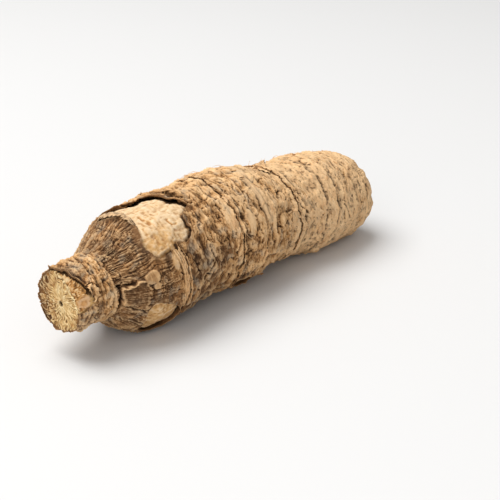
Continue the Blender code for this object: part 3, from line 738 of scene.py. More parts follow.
def fibreGrainGroup():
    # Fine fibres whose length and pitch are set along and round the body, in millimetres
    group, given, out = newGroup(
        "fibreGrain",
        [("Place", "NodeSocketVector", None), ("Along", "NodeSocketFloat", 1.0),
         ("Around", "NodeSocketFloat", 1.0), ("Bend", "NodeSocketFloat", 0.5)],
        [("Grain", "NodeSocketFloat"), ("Ridge", "NodeSocketFloat")])
    bend = addNode(group, "ShaderNodeTexNoise", {"Vector": given["Place"], "Scale": 0.35})
    shift = addNode(group, "ShaderNodeVectorMath", {0: bend.outputs["Color"], "Scale": given["Bend"]},
                    operation="SCALE")
    moved = addNode(group, "ShaderNodeVectorMath", {0: given["Place"], 1: shift.outputs[0]},
                    operation="ADD")
    stretch = addNode(group, "ShaderNodeCombineXYZ", {"X": given["Along"], "Y": given["Around"],
                                                      "Z": given["Around"]})
    scaled = addNode(group, "ShaderNodeVectorMath", {0: moved.outputs[0], 1: stretch.outputs[0]},
                     operation="DIVIDE")
    noise = addNode(group, "ShaderNodeTexNoise", {"Vector": scaled.outputs[0], "Scale": 1.0,
                                                  "Detail": 3.0, "Roughness": 0.6})
    off = maths(group, "ABSOLUTE", maths(group, "SUBTRACT", noise.outputs["Fac"], 0.5))
    ridge = maths(group, "SUBTRACT", 1.0, maths(group, "MULTIPLY", off, 6.0), clamp=True)
    group.links.new(noise.outputs["Fac"], out["Grain"])
    group.links.new(ridge, out["Ridge"])
    return group


def shadeAndHighlightGroup():
    # Paints shade: darkens hollows towards the shadow colour, and pales crests, partly as wear and
    # partly as a painted highlight, from the cavity that the mesh carries
    group, given, out = newGroup(
        "shadeAndHighlight",
        [("Colour", "NodeSocketColor", None), ("Cavity", "NodeSocketFloat", 0.0),
         ("Shadow", "NodeSocketColor", None), ("Crest", "NodeSocketColor", None),
         ("Depth", "NodeSocketFloat", 1.0), ("WearAndHighlight", "NodeSocketFloat", 1.0)],
        [("Colour", "NodeSocketColor")])
    low = maths(group, "MULTIPLY", maths(group, "MULTIPLY", given["Cavity"], -1.0), given["Depth"],
                clamp=True)
    high = maths(group, "MULTIPLY", given["Cavity"], given["WearAndHighlight"], clamp=True)
    sunk = mixColours(group, low, given["Colour"], given["Shadow"])
    worn = mixColours(group, high, sunk, given["Crest"])
    group.links.new(worn, out["Colour"])
    return group


fibreGrain = fibreGrainGroup()
shadeAndHighlight = shadeAndHighlightGroup()


def newMaterial(name, roughness, specular):
    material = bpy.data.materials.new(name)
    material.use_nodes = True
    tree = material.node_tree
    shader = tree.nodes["Principled BSDF"]
    shader.inputs["Roughness"].default_value = roughness
    shader.inputs["Specular IOR Level"].default_value = specular
    return material, tree, shader


def grainOf(tree, place, along, around, bend):
    values = {"Place": place, "Along": along, "Around": around, "Bend": bend}
    return addNode(tree, "ShaderNodeGroup", values, node_tree=fibreGrain).outputs


def shadedByRelief(tree, colour, mask, look, depth, wearAndHighlight):
    # Painted shade in hollows and paler crests, partly wear and partly painted highlight
    values = {"Colour": colour, "Cavity": attribute(tree, mask), "Depth": depth, "WearAndHighlight": wearAndHighlight,
              "Shadow": look["shadow"], "Crest": look["crest"]}
    return addNode(tree, "ShaderNodeGroup", values, node_tree=shadeAndHighlight).outputs["Colour"]


def total(tree, parts):
    whole = parts[0]
    for part in parts[1:]:
        whole = maths(tree, "ADD", whole, part)
    return whole


# For each finish: its grains (length, pitch and bend), how they shift the tone, what covers it
# (mask, share, the grain that breaks it up, colour), the relief that paints shade in its hollows and
# paler crests, and its bump
barkLook = {
    "grains": {"hoops": (0.35, 2.6, 1.5), "streaks": (0.75, 6.0, 2.0), "specks": (0.8, 0.8, 0.4)},
    "toneMasks": ["tone"],
    "toneParts": [("hoops", "Grain", 0.5, 0.5), ("specks", "Grain", 0.5, 0.35),
                  ("streaks", "Grain", 0.5, 0.7), ("streaks", "Ridge", 0.35, -0.12)],
    "tones": [(0.0, (0.075, 0.030, 0.010)), (0.28, (0.220, 0.102, 0.036)),
              (0.5, (0.435, 0.220, 0.079)), (0.72, (0.640, 0.365, 0.153)),
              (1.0, (0.860, 0.590, 0.330))],
    "covers": [("soot", 0.7, None, (0.185, 0.112, 0.058)),
               ("warm", 0.3, None, (0.480, 0.205, 0.055)),
               ("ash", 1.0, "specks", (0.520, 0.405, 0.275))],
    # relief: broad and fine hollows get painted shade, crests get paler (wear and painted highlight)
    "relief": [("broad", 0.45, 0.3), ("cavity", 0.88, 0.5)],
    "shadow": (0.036, 0.014, 0.004),
    "crest": (0.850, 0.560, 0.290),
    # last: painted shade on the bark's inner side, and so on the walls of its cut edges
    "last": ("under", (0.230, 0.115, 0.045)),
    "roughness": ("specks", 0.74, 0.98),
    "bump": ([("hoops", "Ridge", 0.6), ("specks", "Grain", 1.0), ("streaks", "Ridge", 1.0)], 0.6, 0.2),
    "specular": 0.25,
}
fleshLook = {
    "grains": {"cloud": (2.6, 2.2, 0.6), "fine": (0.9, 0.3, 0.8)},
    "toneMasks": [],
    "toneParts": [("cloud", "Grain", 0.0, 0.8), ("fine", "Grain", 0.0, 0.3)],
    "tones": [(0.0, (0.520, 0.290, 0.115)), (0.42, (0.680, 0.460, 0.240)),
              (1.0, (0.840, 0.670, 0.465))],
    "covers": [("stain", 1.0, "cloud", (0.640, 0.345, 0.105))],
    "relief": [("cavity", 0.75, 0.35)],
    "shadow": (0.330, 0.130, 0.034),
    "crest": (0.950, 0.790, 0.580),
    # last: painted shade on the flesh just inside the bark's edges, and the darker old scar
    "last": ("shadeAndScar", (0.075, 0.036, 0.014)),
    "roughness": ("cloud", 0.6, 0.85),
    "bump": ([("fine", "Grain", 1.0), ("cloud", "Grain", 1.0)], 0.5, 0.18),
    "specular": 0.3,
}
woodLook = {
    "grains": {"rays": (2.4, 0.9, 0.3), "fine": (0.5, 0.3, 0.2)},
    "toneMasks": ["tone"],
    "toneParts": [("rays", "Grain", 0.5, 0.8)],
    "tones": [(0.0, (0.180, 0.078, 0.022)), (0.35, (0.430, 0.230, 0.078)),
              (0.62, (0.660, 0.425, 0.170)), (1.0, (0.880, 0.690, 0.385))],
    "covers": [("stain", 1.0, None, (0.520, 0.235, 0.060)), ("rosy", 1.0, None, (0.720, 0.480, 0.285))],
    "relief": [("cavity", 0.95, 0.6)],
    "shadow": (0.075, 0.032, 0.010),
    "crest": (0.880, 0.720, 0.430),
    "last": None,
    "roughness": ("rays", 0.8, 0.8),
    "bump": ([("rays", "Ridge", 1.0), ("fine", "Grain", 1.0)], 0.5, 0.15),
    "specular": 0.25,
}


def grownMaterial(name, look):
    material, tree, shader = newMaterial(name, look["roughness"][2], look["specular"])
    place = attribute(tree, "skinPlace", "Vector")
    grains = {key: grainOf(tree, place, *size) for key, size in look["grains"].items()}
    tone = [attribute(tree, mask) for mask in look["toneMasks"]]
    for key, output, middle, weight in look["toneParts"]:
        off = maths(tree, "SUBTRACT", grains[key][output], middle)
        tone.append(maths(tree, "MULTIPLY", off, weight))
    colour = ramp(tree, total(tree, tone), look["tones"])
    for mask, share, breaks, paint in look["covers"]:
        cover = maths(tree, "MULTIPLY", attribute(tree, mask), share)
        if breaks:
            broken = total(tree, [grains[breaks]["Grain"], 0.25])
            cover = maths(tree, "MULTIPLY", cover, broken, clamp=True)
        colour = mixColours(tree, cover, colour, paint)
    # Each relief mask paints shade in hollows and pales crests (wear and painted highlight)
    for mask, depth, wearAndHighlight in look["relief"]:
        colour = shadedByRelief(tree, colour, mask, look, depth, wearAndHighlight)
    if look["last"]:
        colour = mixColours(tree, attribute(tree, look["last"][0]), colour, look["last"][1])
    tree.links.new(colour, shader.inputs["Base Color"])
    key, low, high = look["roughness"]
    if low < high:
        matt = addNode(tree, "ShaderNodeMapRange", {"Value": grains[key]["Grain"], "To Min": low,
                                                    "To Max": high})
        tree.links.new(matt.outputs[0], shader.inputs["Roughness"])
    parts, strength, distance = look["bump"]
    height = total(tree, [maths(tree, "MULTIPLY", grains[key][output], weight)
                          for key, output, weight in parts])
    bump = addNode(tree, "ShaderNodeBump", {"Height": height, "Strength": strength,
                                            "Distance": distance * mm})
    tree.links.new(bump.outputs["Normal"], shader.inputs["Normal"])
    return material


barkSkin = grownMaterial("dryBark", barkLook)
fleshSkin = grownMaterial("paleFlesh", fleshLook)
woodSkin = grownMaterial("cutWood", woodLook)
print("materials ready")

# Ring edges where one length of bark ends on the next: which of the two lies on top
edgeWords = ("place", "slant", "turn", "wander", "fray", "over", "seed")
edgeRows = {
    "collar": (9.9, 0.5, 50, 0.4, 0.3, "front", 51),
    "annulus": (36.2, 1.3, 130, 0.6, 0.5, "rear", 52),
    "girdle": (64.9, 0.8, 55, 0.6, 0.45, "rear", 53),
    "waist": (97.6, 1.4, 100, 0.9, 0.7, "rear", 54),
}
ringEdges = {name: dict(zip(edgeWords, row)) for name, row in edgeRows.items()}
sleeves = {
    "tuck": 1.8,  # how far the lower one reaches under the upper one
    "tuckDrop": 0.85,
    "lift": 0.5,
    "edgeThickness": 0.32,
    "chip": {"turn": 50.0,
             "insets": [(-25, 5.5), (-6, 5.8), (15, 6.6), (33, 7.05), (60, 7.0), (80, 6.3),
                        (95, 5.7), (110, 5.5)],  # turn, and distance from the middle
             "slopes": [(-40, 4.0), (-10, 4.0), (19, 3.2), (44, 1.6), (55, 1.25), (65, 1.1),
                        (79, 0.65), (95, 0.6), (140, 0.6)]},  # turn, and fall per millimetre
    "frontFray": 0.5,
}


def edgeLine(edge, turn):
    line = edge["place"] + edge["slant"] * np.cos(turn - math.radians(edge["turn"]))
    line = line + edge["wander"] * roundWander(turn, 4, edge["seed"])
    return line + edge["fray"] * roundWander(turn, 1.0, edge["seed"] + 30)


def chipLevel(place, turn):  # how far from the middle the broken corner lies
    chip = sleeves["chip"]
    slope = np.interp(np.degrees(turn), *np.array(chip["slopes"], float).T)
    inset = smoothThrough(np.clip(np.degrees(turn), -24, 109), *np.array(chip["insets"], float).T)
    return inset + slope * (place - neckEnd)


def chipDepth(place, turn):  # above 0 where the corner of the neck is broken off
    chip = sleeves["chip"]
    facing = np.cos(turn - math.radians(chip["turn"]))
    reach = plainRadius(np.maximum(place, neckEnd), turn) * facing
    return (reach - chipLevel(place, turn)) / 0.8


def slits(x, y):  # cracks that go right through
    depth = np.full(x.shape, -9.0)
    tornX, tornY = tornPlaces(x, y, 143)
    for _, halfWidth, places in bark["cracks"][5:6]:
        width = halfWidth * (0.75 + 0.9 * gradientNoise(x / 1.7, y / 1.7, 2, 144))
        depth = np.maximum(depth, width - lineDistance(tornX, tornY, flat(places)))
    return depth


def closedBark(name, place, turn, outer, inner, faces, marks, innerFloor=0.02, innerShare=1.0,
               under=1.0):
    # The faces and marks are the outer side's, and the inner side and the walls are added
    fields = {key: np.concatenate([value.ravel(), innerShare * value.ravel()])
              for key, value in marks.items()}
    # The inner side, and so the walls at cut edges, carry the painted shade laid last on the bark
    fields["under"] = np.repeat([0.0, under], place.size)
    fields["skinPlace"] = np.tile(skinPlace(place, turn).reshape(-1, 3), (2, 1))
    points = np.concatenate([skinPoints(place, turn, outer).reshape(-1, 3),
                             skinPoints(place, turn, inner, innerFloor).reshape(-1, 3)])
    return makePiece(name, points, closedSheet(faces, place.size), fields, barkSkin)


def barkSleeve(name, front, rear, firstPlace, lastPlace, pitch, count):
    def missing(place, turn):
        x, y = unrolled(place, turn)
        depth = np.maximum(bareDepth(x, y), slits(x, y))
        if front:
            inset = 0 if front["over"] == "rear" else sleeves["tuck"]
            depth = np.maximum(depth, edgeLine(front, turn) - inset - place)
        else:
            start = neckEnd - 0.15 + sleeves["frontFray"] * roundWander(turn, 1.6, 61)
            depth = np.maximum(depth, start - place)
            torn = 0.35 * gradientNoise(x / 1.1, y / 1.1, 1, 62)
            depth = np.maximum(depth, chipDepth(place, turn) + torn)
        if rear:
            outset = 0 if rear["over"] == "front" else sleeves["tuck"]
            depth = np.maximum(depth, place - edgeLine(rear, turn) - outset)
        return depth

    rows = np.linspace(firstPlace, lastPlace, int((lastPlace - firstPlace) / pitch))
    place, turn = np.meshgrid(rows, turnsRound(count), indexing="ij")
    place, turn, depth = snapToEdge(place, turn, missing)
    x, y = unrolled(place, turn)
    relief, marks = barkRelief(place, turn)
    bare = bareDepth(x, y)
    rearSide = fade(x, 33, 38) * (1 - fade(y, 18, 24))
    raised = 0.5 - 0.25 * rearSide + 0.35 * skinNoise(place, turn, 3, 3, 141)
    raised = raised - 0.35 * (1 - fade(x, 26, 32))
    nearEdge = np.exp(-np.maximum(-bare, 0) / 1.2)
    lifted = 0.5 * np.maximum(relief, 0) + np.clip(raised, 0.05, 0.9) + 0.1
    relief += nearEdge * (lifted - relief)
    for edge, side in ((front, 1), (rear, -1)):
        if not edge:
            continue
        past = side * (place - edgeLine(edge, turn))
        if edge["over"] == ("rear" if side == 1 else "front"):
            curl = 0.7 + 0.6 * roundWander(turn, 3, edge["seed"] + 7)
            relief += sleeves["lift"] * curl * np.exp(-np.maximum(past, 0) / 1.1)
        else:
            relief -= sleeves["tuckDrop"] * (1 - fade(past, -0.3, 0.9))
    if not front:
        degrees = np.degrees(turn)
        gape = fade(chipDepth(place, turn), -2.2, -0.2) * (1 - fade(degrees, 60, 75))
        lowLeft = bell((degrees + 153 + 180) % 360 - 180, 16)
        curl = np.clip(0.1 + 0.8 * roundWander(turn, 5, 64) + 1.1 * lowLeft, 0, 1.2)
        curl = curl * np.exp(-np.maximum(place - neckEnd, 0) / 1.2)
        relief += 0.85 * gape + 0.8 * curl
    fleshTop, _, _ = fleshRelief(place, turn)
    thin = fade(-depth, 0, 2.5)
    thickness = sleeves["edgeThickness"] + (bark["thickness"] - sleeves["edgeThickness"]) * thin
    inner = np.maximum(relief - thickness, fleshTop + 0.06)
    outer = np.maximum(relief, inner + 0.25)
    # Fine and broad hollows and crests, for painted shade in hollows and paler crests
    fineCavity = 0.25 * (outer - blurred(outer, 2)) / 0.2 + 0.75 * (outer - blurred(outer, 5)) / 0.4
    marks["cavity"] = np.clip(fineCavity, -1, 1)
    marks["broad"] = np.clip((outer - blurred(outer, 13)) / 0.8, -1, 1)
    return closedBark(name, place, turn, outer, inner, keptFaces(depth), marks, 0.32, 0.5)


barkSleeve("barkNeck", None, ringEdges["collar"], -3.2, 11.8, 0.26, 300)
barkSleeve("barkShoulder", ringEdges["collar"], ringEdges["annulus"], 6.4, 40.5, 0.29, 380)
barkSleeve("barkGirdle", ringEdges["annulus"], ringEdges["girdle"], 33.2, 68.6, 0.29, 380)
barkSleeve("barkMiddle", ringEdges["girdle"], ringEdges["waist"], 62.4, 102.8, 0.36, 350)
barkSleeve("barkRear", ringEdges["waist"], None, 93.6, 152.5, 0.42, 330)

innerFlesh = {"first": 8.0, "fine": (20.0, 53.0), "finePitch": 0.36, "coarsePitch": 0.8, "count": 260,
              "scarDepth": 1.3, "scarWidth": 9.0}


def fleshBody():
    first, last = innerFlesh["first"], body["shoulderStart"] + body["shoulderWalk"]
    low, high = innerFlesh["fine"]
    coarse, fine = innerFlesh["coarsePitch"], innerFlesh["finePitch"]
    rows = np.concatenate([
        np.linspace(first, low, int((low - first) / coarse), endpoint=False),
        np.linspace(low, high, int((high - low) / fine), endpoint=False),
        np.linspace(high, last, int((last - high) / coarse)),
    ])
    place, turn = np.meshgrid(rows, turnsRound(innerFlesh["count"], 45, 0.5), indexing="ij")
    height, stain, shadeAndScar = fleshRelief(place, turn)
    end = fade(place, last - 6, last - 2)
    height = height * (1 - end) + end * (-1.2 + 0.3 * skinNoise(place, turn, 2, 2, 221))
    points = skinPoints(place, turn, height, 0.62)

    # The worn scar that closes the old end
    share = np.linspace(1, 0, 26)[1:-1, None]
    rim, centre = points[-1], points[-1].mean(0)
    y = innerFlesh["scarWidth"] * share * np.cos(turn[-1])
    z = innerFlesh["scarWidth"] * share * np.sin(turn[-1])
    pits = 0.5 * gradientNoise(y / 3, z / 3, 1, 222) + 0.4 * gradientNoise(y / 1.2, z / 1.2, 1, 223)
    pits -= 0.5 * fade(gradientNoise(y / 0.9, z / 0.9, 1, 224), 0.35, 0.6)
    sunk = innerFlesh["scarDepth"] * fade(1 - share, 0, 0.3) - pits * fade(1 - share, 0, 0.1)
    scar = centre + (rim - centre) * share[..., None]
    scar[..., 0] = rim[:, 0] - sunk * mm

    def withScar(field, scarValues, value):
        onScar = np.broadcast_to(scarValues, pits.shape)
        return np.concatenate([field.ravel(), onScar.ravel(), [value, value]])

    # Hollows of the flesh and of the scar, for painted shade in them
    cavity = np.clip((height - blurred(height, 3)) / 0.16, -1, 1)
    scarTone = np.clip(pits / 0.5, -1, 1)
    fields = {
        "cavity": withScar(cavity, scarTone, 0), "stain": withScar(stain, 0.9, 0.9),
        # The old scar is painted darker, with painted shade in its pits
        "shadeAndScar": withScar(np.maximum(shadeAndScar * (1 - end), 0.6 * end), 0.42 - 0.3 * scarTone, 0.4),
        "skinPlace": np.concatenate([skinPlace(place, turn).reshape(-1, 3), scar.reshape(-1, 3) / mm,
                                     np.zeros((2, 3))]),
    }
    ends = [points[0].mean(0), centre - (innerFlesh["scarDepth"] * mm, 0, 0)]
    allPoints = np.concatenate([points.reshape(-1, 3), scar.reshape(-1, 3), ends])
    faces = cappedTube(len(place) + len(scar), place.shape[1])
    return makePiece("innerFlesh", allPoints, faces, fields, fleshSkin)


fleshBody()

cutFace = {
    "columns": 380, "rows": 52, "sideEnd": 12.4, "sidePitch": 0.3,
    "rimInset": 0.45, "pith": (0.22, -0.87), "pithRadius": 0.8, "pithDepth": 2.6, "rays": 0.26,
}


def neckWood():
    chip = sleeves["chip"]
    turns = turnsRound(cutFace["columns"], 60, 0.3)
    shares = np.linspace(0, 1, cutFace["rows"])[1:]
    sides = np.arange(neckEnd + 0.12, cutFace["sideEnd"], cutFace["sidePitch"])
    place = np.concatenate([np.full(len(shares), neckEnd), sides])
    share = np.concatenate([shares, np.ones(len(sides))])
    place, turn = np.meshgrid(place, turns, indexing="ij")
    share = np.broadcast_to(share[:, None], place.shape)
    noise, degrees = partial(skinNoise, place, turn), np.degrees(turn)
    onFace = place < neckEnd + 0.01

    # The broken corner: torn, but for one smooth facet
    facing = np.maximum(np.cos(turn - math.radians(chip["turn"])), 0.05)
    broken = chipLevel(place, turn) / facing
    rim = plainRadius(place, turn) - cutFace["rimInset"] + 0.25 * noise(1.5, 1.6, 301)
    onChip = fade(rim - broken, -0.1, 0.6)
    torn = ridges(place + 0.03 * turn, turn + 0.05 * noise(2, 2, 302), 0.7, 4, 303) - 0.5
    torn = torn + 0.5 * (ridges(place, turn, 1.2, 1.0, 304) - 0.5)
    smooth = (np.hypot((place - 0.1) / 2.2, (degrees - 79) / 14) < 1) & ~onFace
    radius = np.minimum(rim, broken + np.where(smooth, 0.1, 0.36) * torn * onChip) * share
    cleft = (1 - fade(rim - broken, -0.15, 0.2)) * (1 - fade(degrees, 62, 78))
    cleft = cleft * ~onFace * (degrees > -25)

    # The cut face: rays, pores and the pith hole
    curve = turn + 0.22 * skinNoise(radius / 2.5, turn, 1, 5, 311)
    ray = ridges(radius / 5, curve, 1, 2.6, 305) + 0.5 * ridges(radius / 2.6, curve, 1, 1.3, 306)
    pores = fade(skinNoise(radius / 1.5, curve, 1, 2.2, 307), 0.25, 0.55)
    porous = skinNoise(radius / 5, turn, 1, 10, 312) - 0.35 * np.sin(turn)
    pores = pores * fade(porous, -0.25, 0.35)
    outer = fade(radius, 1.5, 6)
    into = cutFace["rays"] * (0.9 - ray) * (0.35 + 0.65 * outer) + 0.38 * pores * outer
    into = into + 0.2 * skinNoise(radius / 3, turn, 1, 4, 308)
    toPith = np.hypot(radius * np.sin(turn) + cutFace["pith"][0],
                      radius * np.cos(turn) - cutFace["pith"][1])
    into = into + cutFace["pithDepth"] * np.exp(-((toPith / cutFace["pithRadius"]) ** 4))
    edge = fade(share, 0.94, 1.0)
    along = place + np.where(onFace, into * (1 - edge) + 0.12 * edge, 0.12)
    r = radius - np.where(onFace, 0, fade(place, 5, 10) * 1.2) - 0.8 * cleft
    _, sideways, height = middleLine(along)
    points = np.stack([along - middleX, sideways - r * np.sin(turn) - body["middleY"],
                       height + r * np.cos(turn)], -1) * mm

    # Painted shade in hollows, in the pith hole and in the cleft under the bark's edge; tone, stain and
    # the rosy facet
    depth = np.where(onFace, -into, radius - np.minimum(rim, broken))
    cavity = np.clip((depth - blurred(depth, 3)) / 0.16, -1, 1)
    hole = 1 - fade(toPith, 0.8, 1.2)
    cavity = np.clip(cavity - 2.5 * hole * onFace - 1.6 * cleft, -1, 1)
    tone = 0.63 + 0.22 * (ray - 0.7) + 0.3 * skinNoise(radius / 2.5, turn, 1, 6, 309)
    tone = tone + 0.12 * (1 - fade(radius, 3, 7)) - 0.15 * fade(share, 0.9, 1)
    tone = tone - 0.5 * fade(radius, 2.5, 9) * fade(-np.sin(turn), 0.0, 0.9) - 0.35 * pores * outer
    spot = np.hypot(radius * np.sin(turn) + 2.4, radius * np.cos(turn) + 0.5)
    stain = 0.75 * bell(spot, 0.9) * onFace + np.where(onFace, 0, 0.85 + 0.5 * torn) * onChip
    paleEdge = onFace * fade(share, 0.84, 0.93) * fade(rim - broken, 0.0, 0.8)
    stain = stain * (1 - paleEdge)
    tone = tone + 0.3 * paleEdge - np.where(onFace, 0, 0.18 - 0.5 * torn) * onChip
    stain = stain + 0.3 * fade(skinNoise(radius / 2, turn, 1, 3, 310), 0.1, 0.6) * outer
    wideSpot = np.abs(place - 0.1 + 0.04 * (degrees - 79)) / 1.6
    rosySpot = (wideSpot**4 + (np.abs(degrees - 79) / 12) ** 4) ** 0.25 + 0.3 * noise(1.3, 1.3, 313)
    rosy = 0.75 * (1 - fade(rosySpot, 0.7, 1.1)) * ~onFace
    orange = (1 - fade(np.hypot(wideSpot - 0.1, (degrees - 82) / 14), 0.2, 0.75)) * ~onFace
    marks = {"cavity": cavity * (1 - 0.7 * rosy), "tone": tone, "stain": np.clip(stain, 0, 1),
             "rosy": rosy * (1 - 0.8 * orange)}
    polar = np.stack([radius, 8 * np.cos(turn), 8 * np.sin(turn)], -1)
    marks["skinPlace"] = np.where(onFace[..., None], polar, skinPlace(place, turn) * 0.5)
    fields = {key: np.concatenate([value.reshape(place.size, *value.shape[2:]), value[0, :1],
                                   value[-1, :1]]) for key, value in marks.items()}
    allPoints = np.concatenate([points.reshape(-1, 3), [points[0].mean(0), points[-1].mean(0)]])
    faces = cappedTube(*place.shape)
    return makePiece("neckWood", allPoints, faces, fields, woodSkin, 42)


neckWood()

# Loose edges of bark: the places their roots run through, the places their free edges reach,
# and how high those stand
looseBark = {
    "thickness": 0.38, "columns": 150, "rows": 26,
    "flaps": {
        "shoulderFlap": {
            "root": [(29.4, -34), (29.4, -24), (29.2, -12), (29.0, 0), (28.4, 10), (27.3, 19),
                     (26.9, 24)],
            "free": [(24.4, -33), (24.6, -24), (24.3, -13), (25.6, -5), (26.0, 3), (26.0, 12),
                     (26.6, 22)],
            "lift": 0.9, "belly": 0.35, "tone": 0.86, "soot": 0.0, "ash": 0.75, "rootDrop": 1.3,
            "seed": 401,
        },
        "whiskerFlap": {
            "root": [(96.4, -17), (96.6, -11), (97.2, -4), (97.8, 4)],
            "free": [(97.8, -18), (101.8, -12), (101.0, -5), (98.8, 4)],
            "lift": 1.9, "belly": 0.3, "tone": 0.72, "soot": 0.1, "seed": 402,
        },
        "ridgeFlap": {
            "root": [(51.5, -8), (51.8, 2), (52.6, 12), (54.0, 20)],
            "free": [(48.6, -8), (48.0, 2), (48.6, 11), (51.0, 19)],
            "lift": 1.1, "belly": 0.2, "tone": 0.55, "soot": 0.3, "seed": 403,
        },
        "rearFlap": {
            "root": [(106, -92), (104.5, -76), (104, -58), (105, -44)],
            "free": [(101.5, -90), (100, -76), (99.6, -60), (102, -46)],
            "lift": 1.6, "belly": 0.4, "tone": 0.55, "soot": 0.35, "seed": 404,
        },
    },
}


def alongLine(points, count):  # evenly spaced places on a smooth line through points
    points = np.array(points, float)
    at = np.linspace(0, len(points) - 1, count)
    keys = np.arange(len(points), dtype=float)
    return smoothThrough(at, keys, points[:, 0]), np.radians(smoothThrough(at, keys, points[:, 1]))


def looseFlap(name, flap):
    columns, rows = looseBark["columns"], looseBark["rows"]
    rootPlace, rootTurn = alongLine(flap["root"], columns)
    freePlace, freeTurn = alongLine(flap["free"], columns)
    draw = np.random.RandomState(flap["seed"])
    reach = np.linspace(0, 1, rows)[:, None]
    along = np.linspace(0, 1, columns)[None, :]
    fray = np.interp(along, np.linspace(0, 1, 60), draw.uniform(-1, 1, 60))
    tear = np.interp(along, np.linspace(0, 1, 17), draw.uniform(-1, 1, 17))
    reachHere = reach * (1 + 0.16 * fray + 0.2 * tear)
    place = rootPlace + (freePlace - rootPlace) * reachHere
    place = place + (1 - reach) * (0.5 * tear + 0.25 * fray)
    turn = rootTurn + (freeTurn - rootTurn) * reachHere
    taper = np.clip(np.sin(math.pi * along), 0, 1) ** 0.5
    relief, marks = barkRelief(place, turn)
    smooth = 0.35 * blurred(relief, 6) + 0.45
    curl = flap["lift"] * reach**1.6 * taper + flap["belly"] * np.sin(math.pi * reach)
    wave = 0.35 * skinNoise(place, turn, 3, 2.2, flap["seed"]) * reach
    fine = 0.16 * (ridges(reach * 5 + 0 * turn, turn, 1.0, 7, flap["seed"] + 1) - 0.5)
    fine = fine + 0.2 * skinNoise(place, turn, 1.4, 1.4, flap["seed"] + 2)
    rootDrop = flap.get("rootDrop", 0.8) * (1 - fade(reach, 0, 0.3))
    outer = smooth + curl + wave + fine - 1.0 * (1 - taper) - rootDrop
    inner = outer - looseBark["thickness"] * (1 - 0.55 * reach)
    index = np.arange(place.size).reshape(place.shape)
    quads = np.stack([index[:-1, :-1], index[:-1, 1:], index[1:, 1:], index[1:, :-1]], -1)
    faces = [tuple(q) for q in quads.reshape(-1, 4).tolist()]
    top = skinPoints(place, turn, outer)
    outward = top[0, 0] - np.array([top[0, 0, 0], 0, 20 * mm])
    if np.dot(np.cross(top[0, 1] - top[0, 0], top[1, 0] - top[0, 0]), outward) < 0:
        faces = [tuple(reversed(f)) for f in faces]
    marks = {
        "tone": np.clip(flap["tone"] + 0.5 * (marks["tone"] - 0.45), 0, 1),
        "soot": np.clip(flap["soot"] + 0.3 * (marks["soot"] - 0.4), 0, 1),
        "warm": marks["warm"] * 0.4,
        "ash": np.clip(flap.get("ash", 0.1) + 0.4 * (marks["ash"] - 0.2), 0, 1),
        # Hollows and crests of the flap, for painted shade and paler crests
        "cavity": np.clip((fine + wave * 0.3) / 0.2, -1, 1),
        "broad": 0 * place,
    }
    return closedBark(name, place, turn, outer, inner, faces, marks)


for flapName, flapValues in looseBark["flaps"].items():
    looseFlap(flapName, flapValues)

# Threads and shards of bark that came loose, mostly along the rings
scraps = {
    "threads": {"count": 300, "steps": 10, "length": (2.5, 8.0), "radius": (0.07, 0.14), "seed": 501},
    "shards": {"count": 260, "length": (1.0, 3.0), "width": (0.35, 0.9), "thickness": 0.14, "seed": 502},
    "whiskers": [((97.0, -2), (103.5, -9), 3.4), ((98.5, -8), (104.5, -17), 2.6),
                 ((96.2, -16), (100.5, -24), 2.0), ((46.5, 3), (50.5, -4), 1.6),
                 ((10.5, 70), (14.5, 62), 1.5), ((66.0, 30), (70.0, 22), 1.5)],
}


def scrapStarts(draw, count):  # near a ring, anywhere but underneath
    rings = np.array(bark["rings"], float)[draw.randint(4, len(bark["rings"]), count)]
    turn = np.radians(draw.uniform(-150, 150, count))
    place = rings[:, 0] + rings[:, 2] * np.cos(turn - np.radians(rings[:, 3]))
    return place + draw.normal(0, 2.2, count), turn


def underBark(place, turn):  # True where every point of a row lies on bark
    x, y = unrolled(place, turn)
    return (bareDepth(x, y) < -0.4).all(-1)


def scrapMarks(tone):
    marks = {"tone": tone, "soot": 0 * tone + 0.2, "warm": 0 * tone + 0.4}
    return {**marks, "cavity": 0 * tone, "ash": 0 * tone, "broad": 0 * tone}


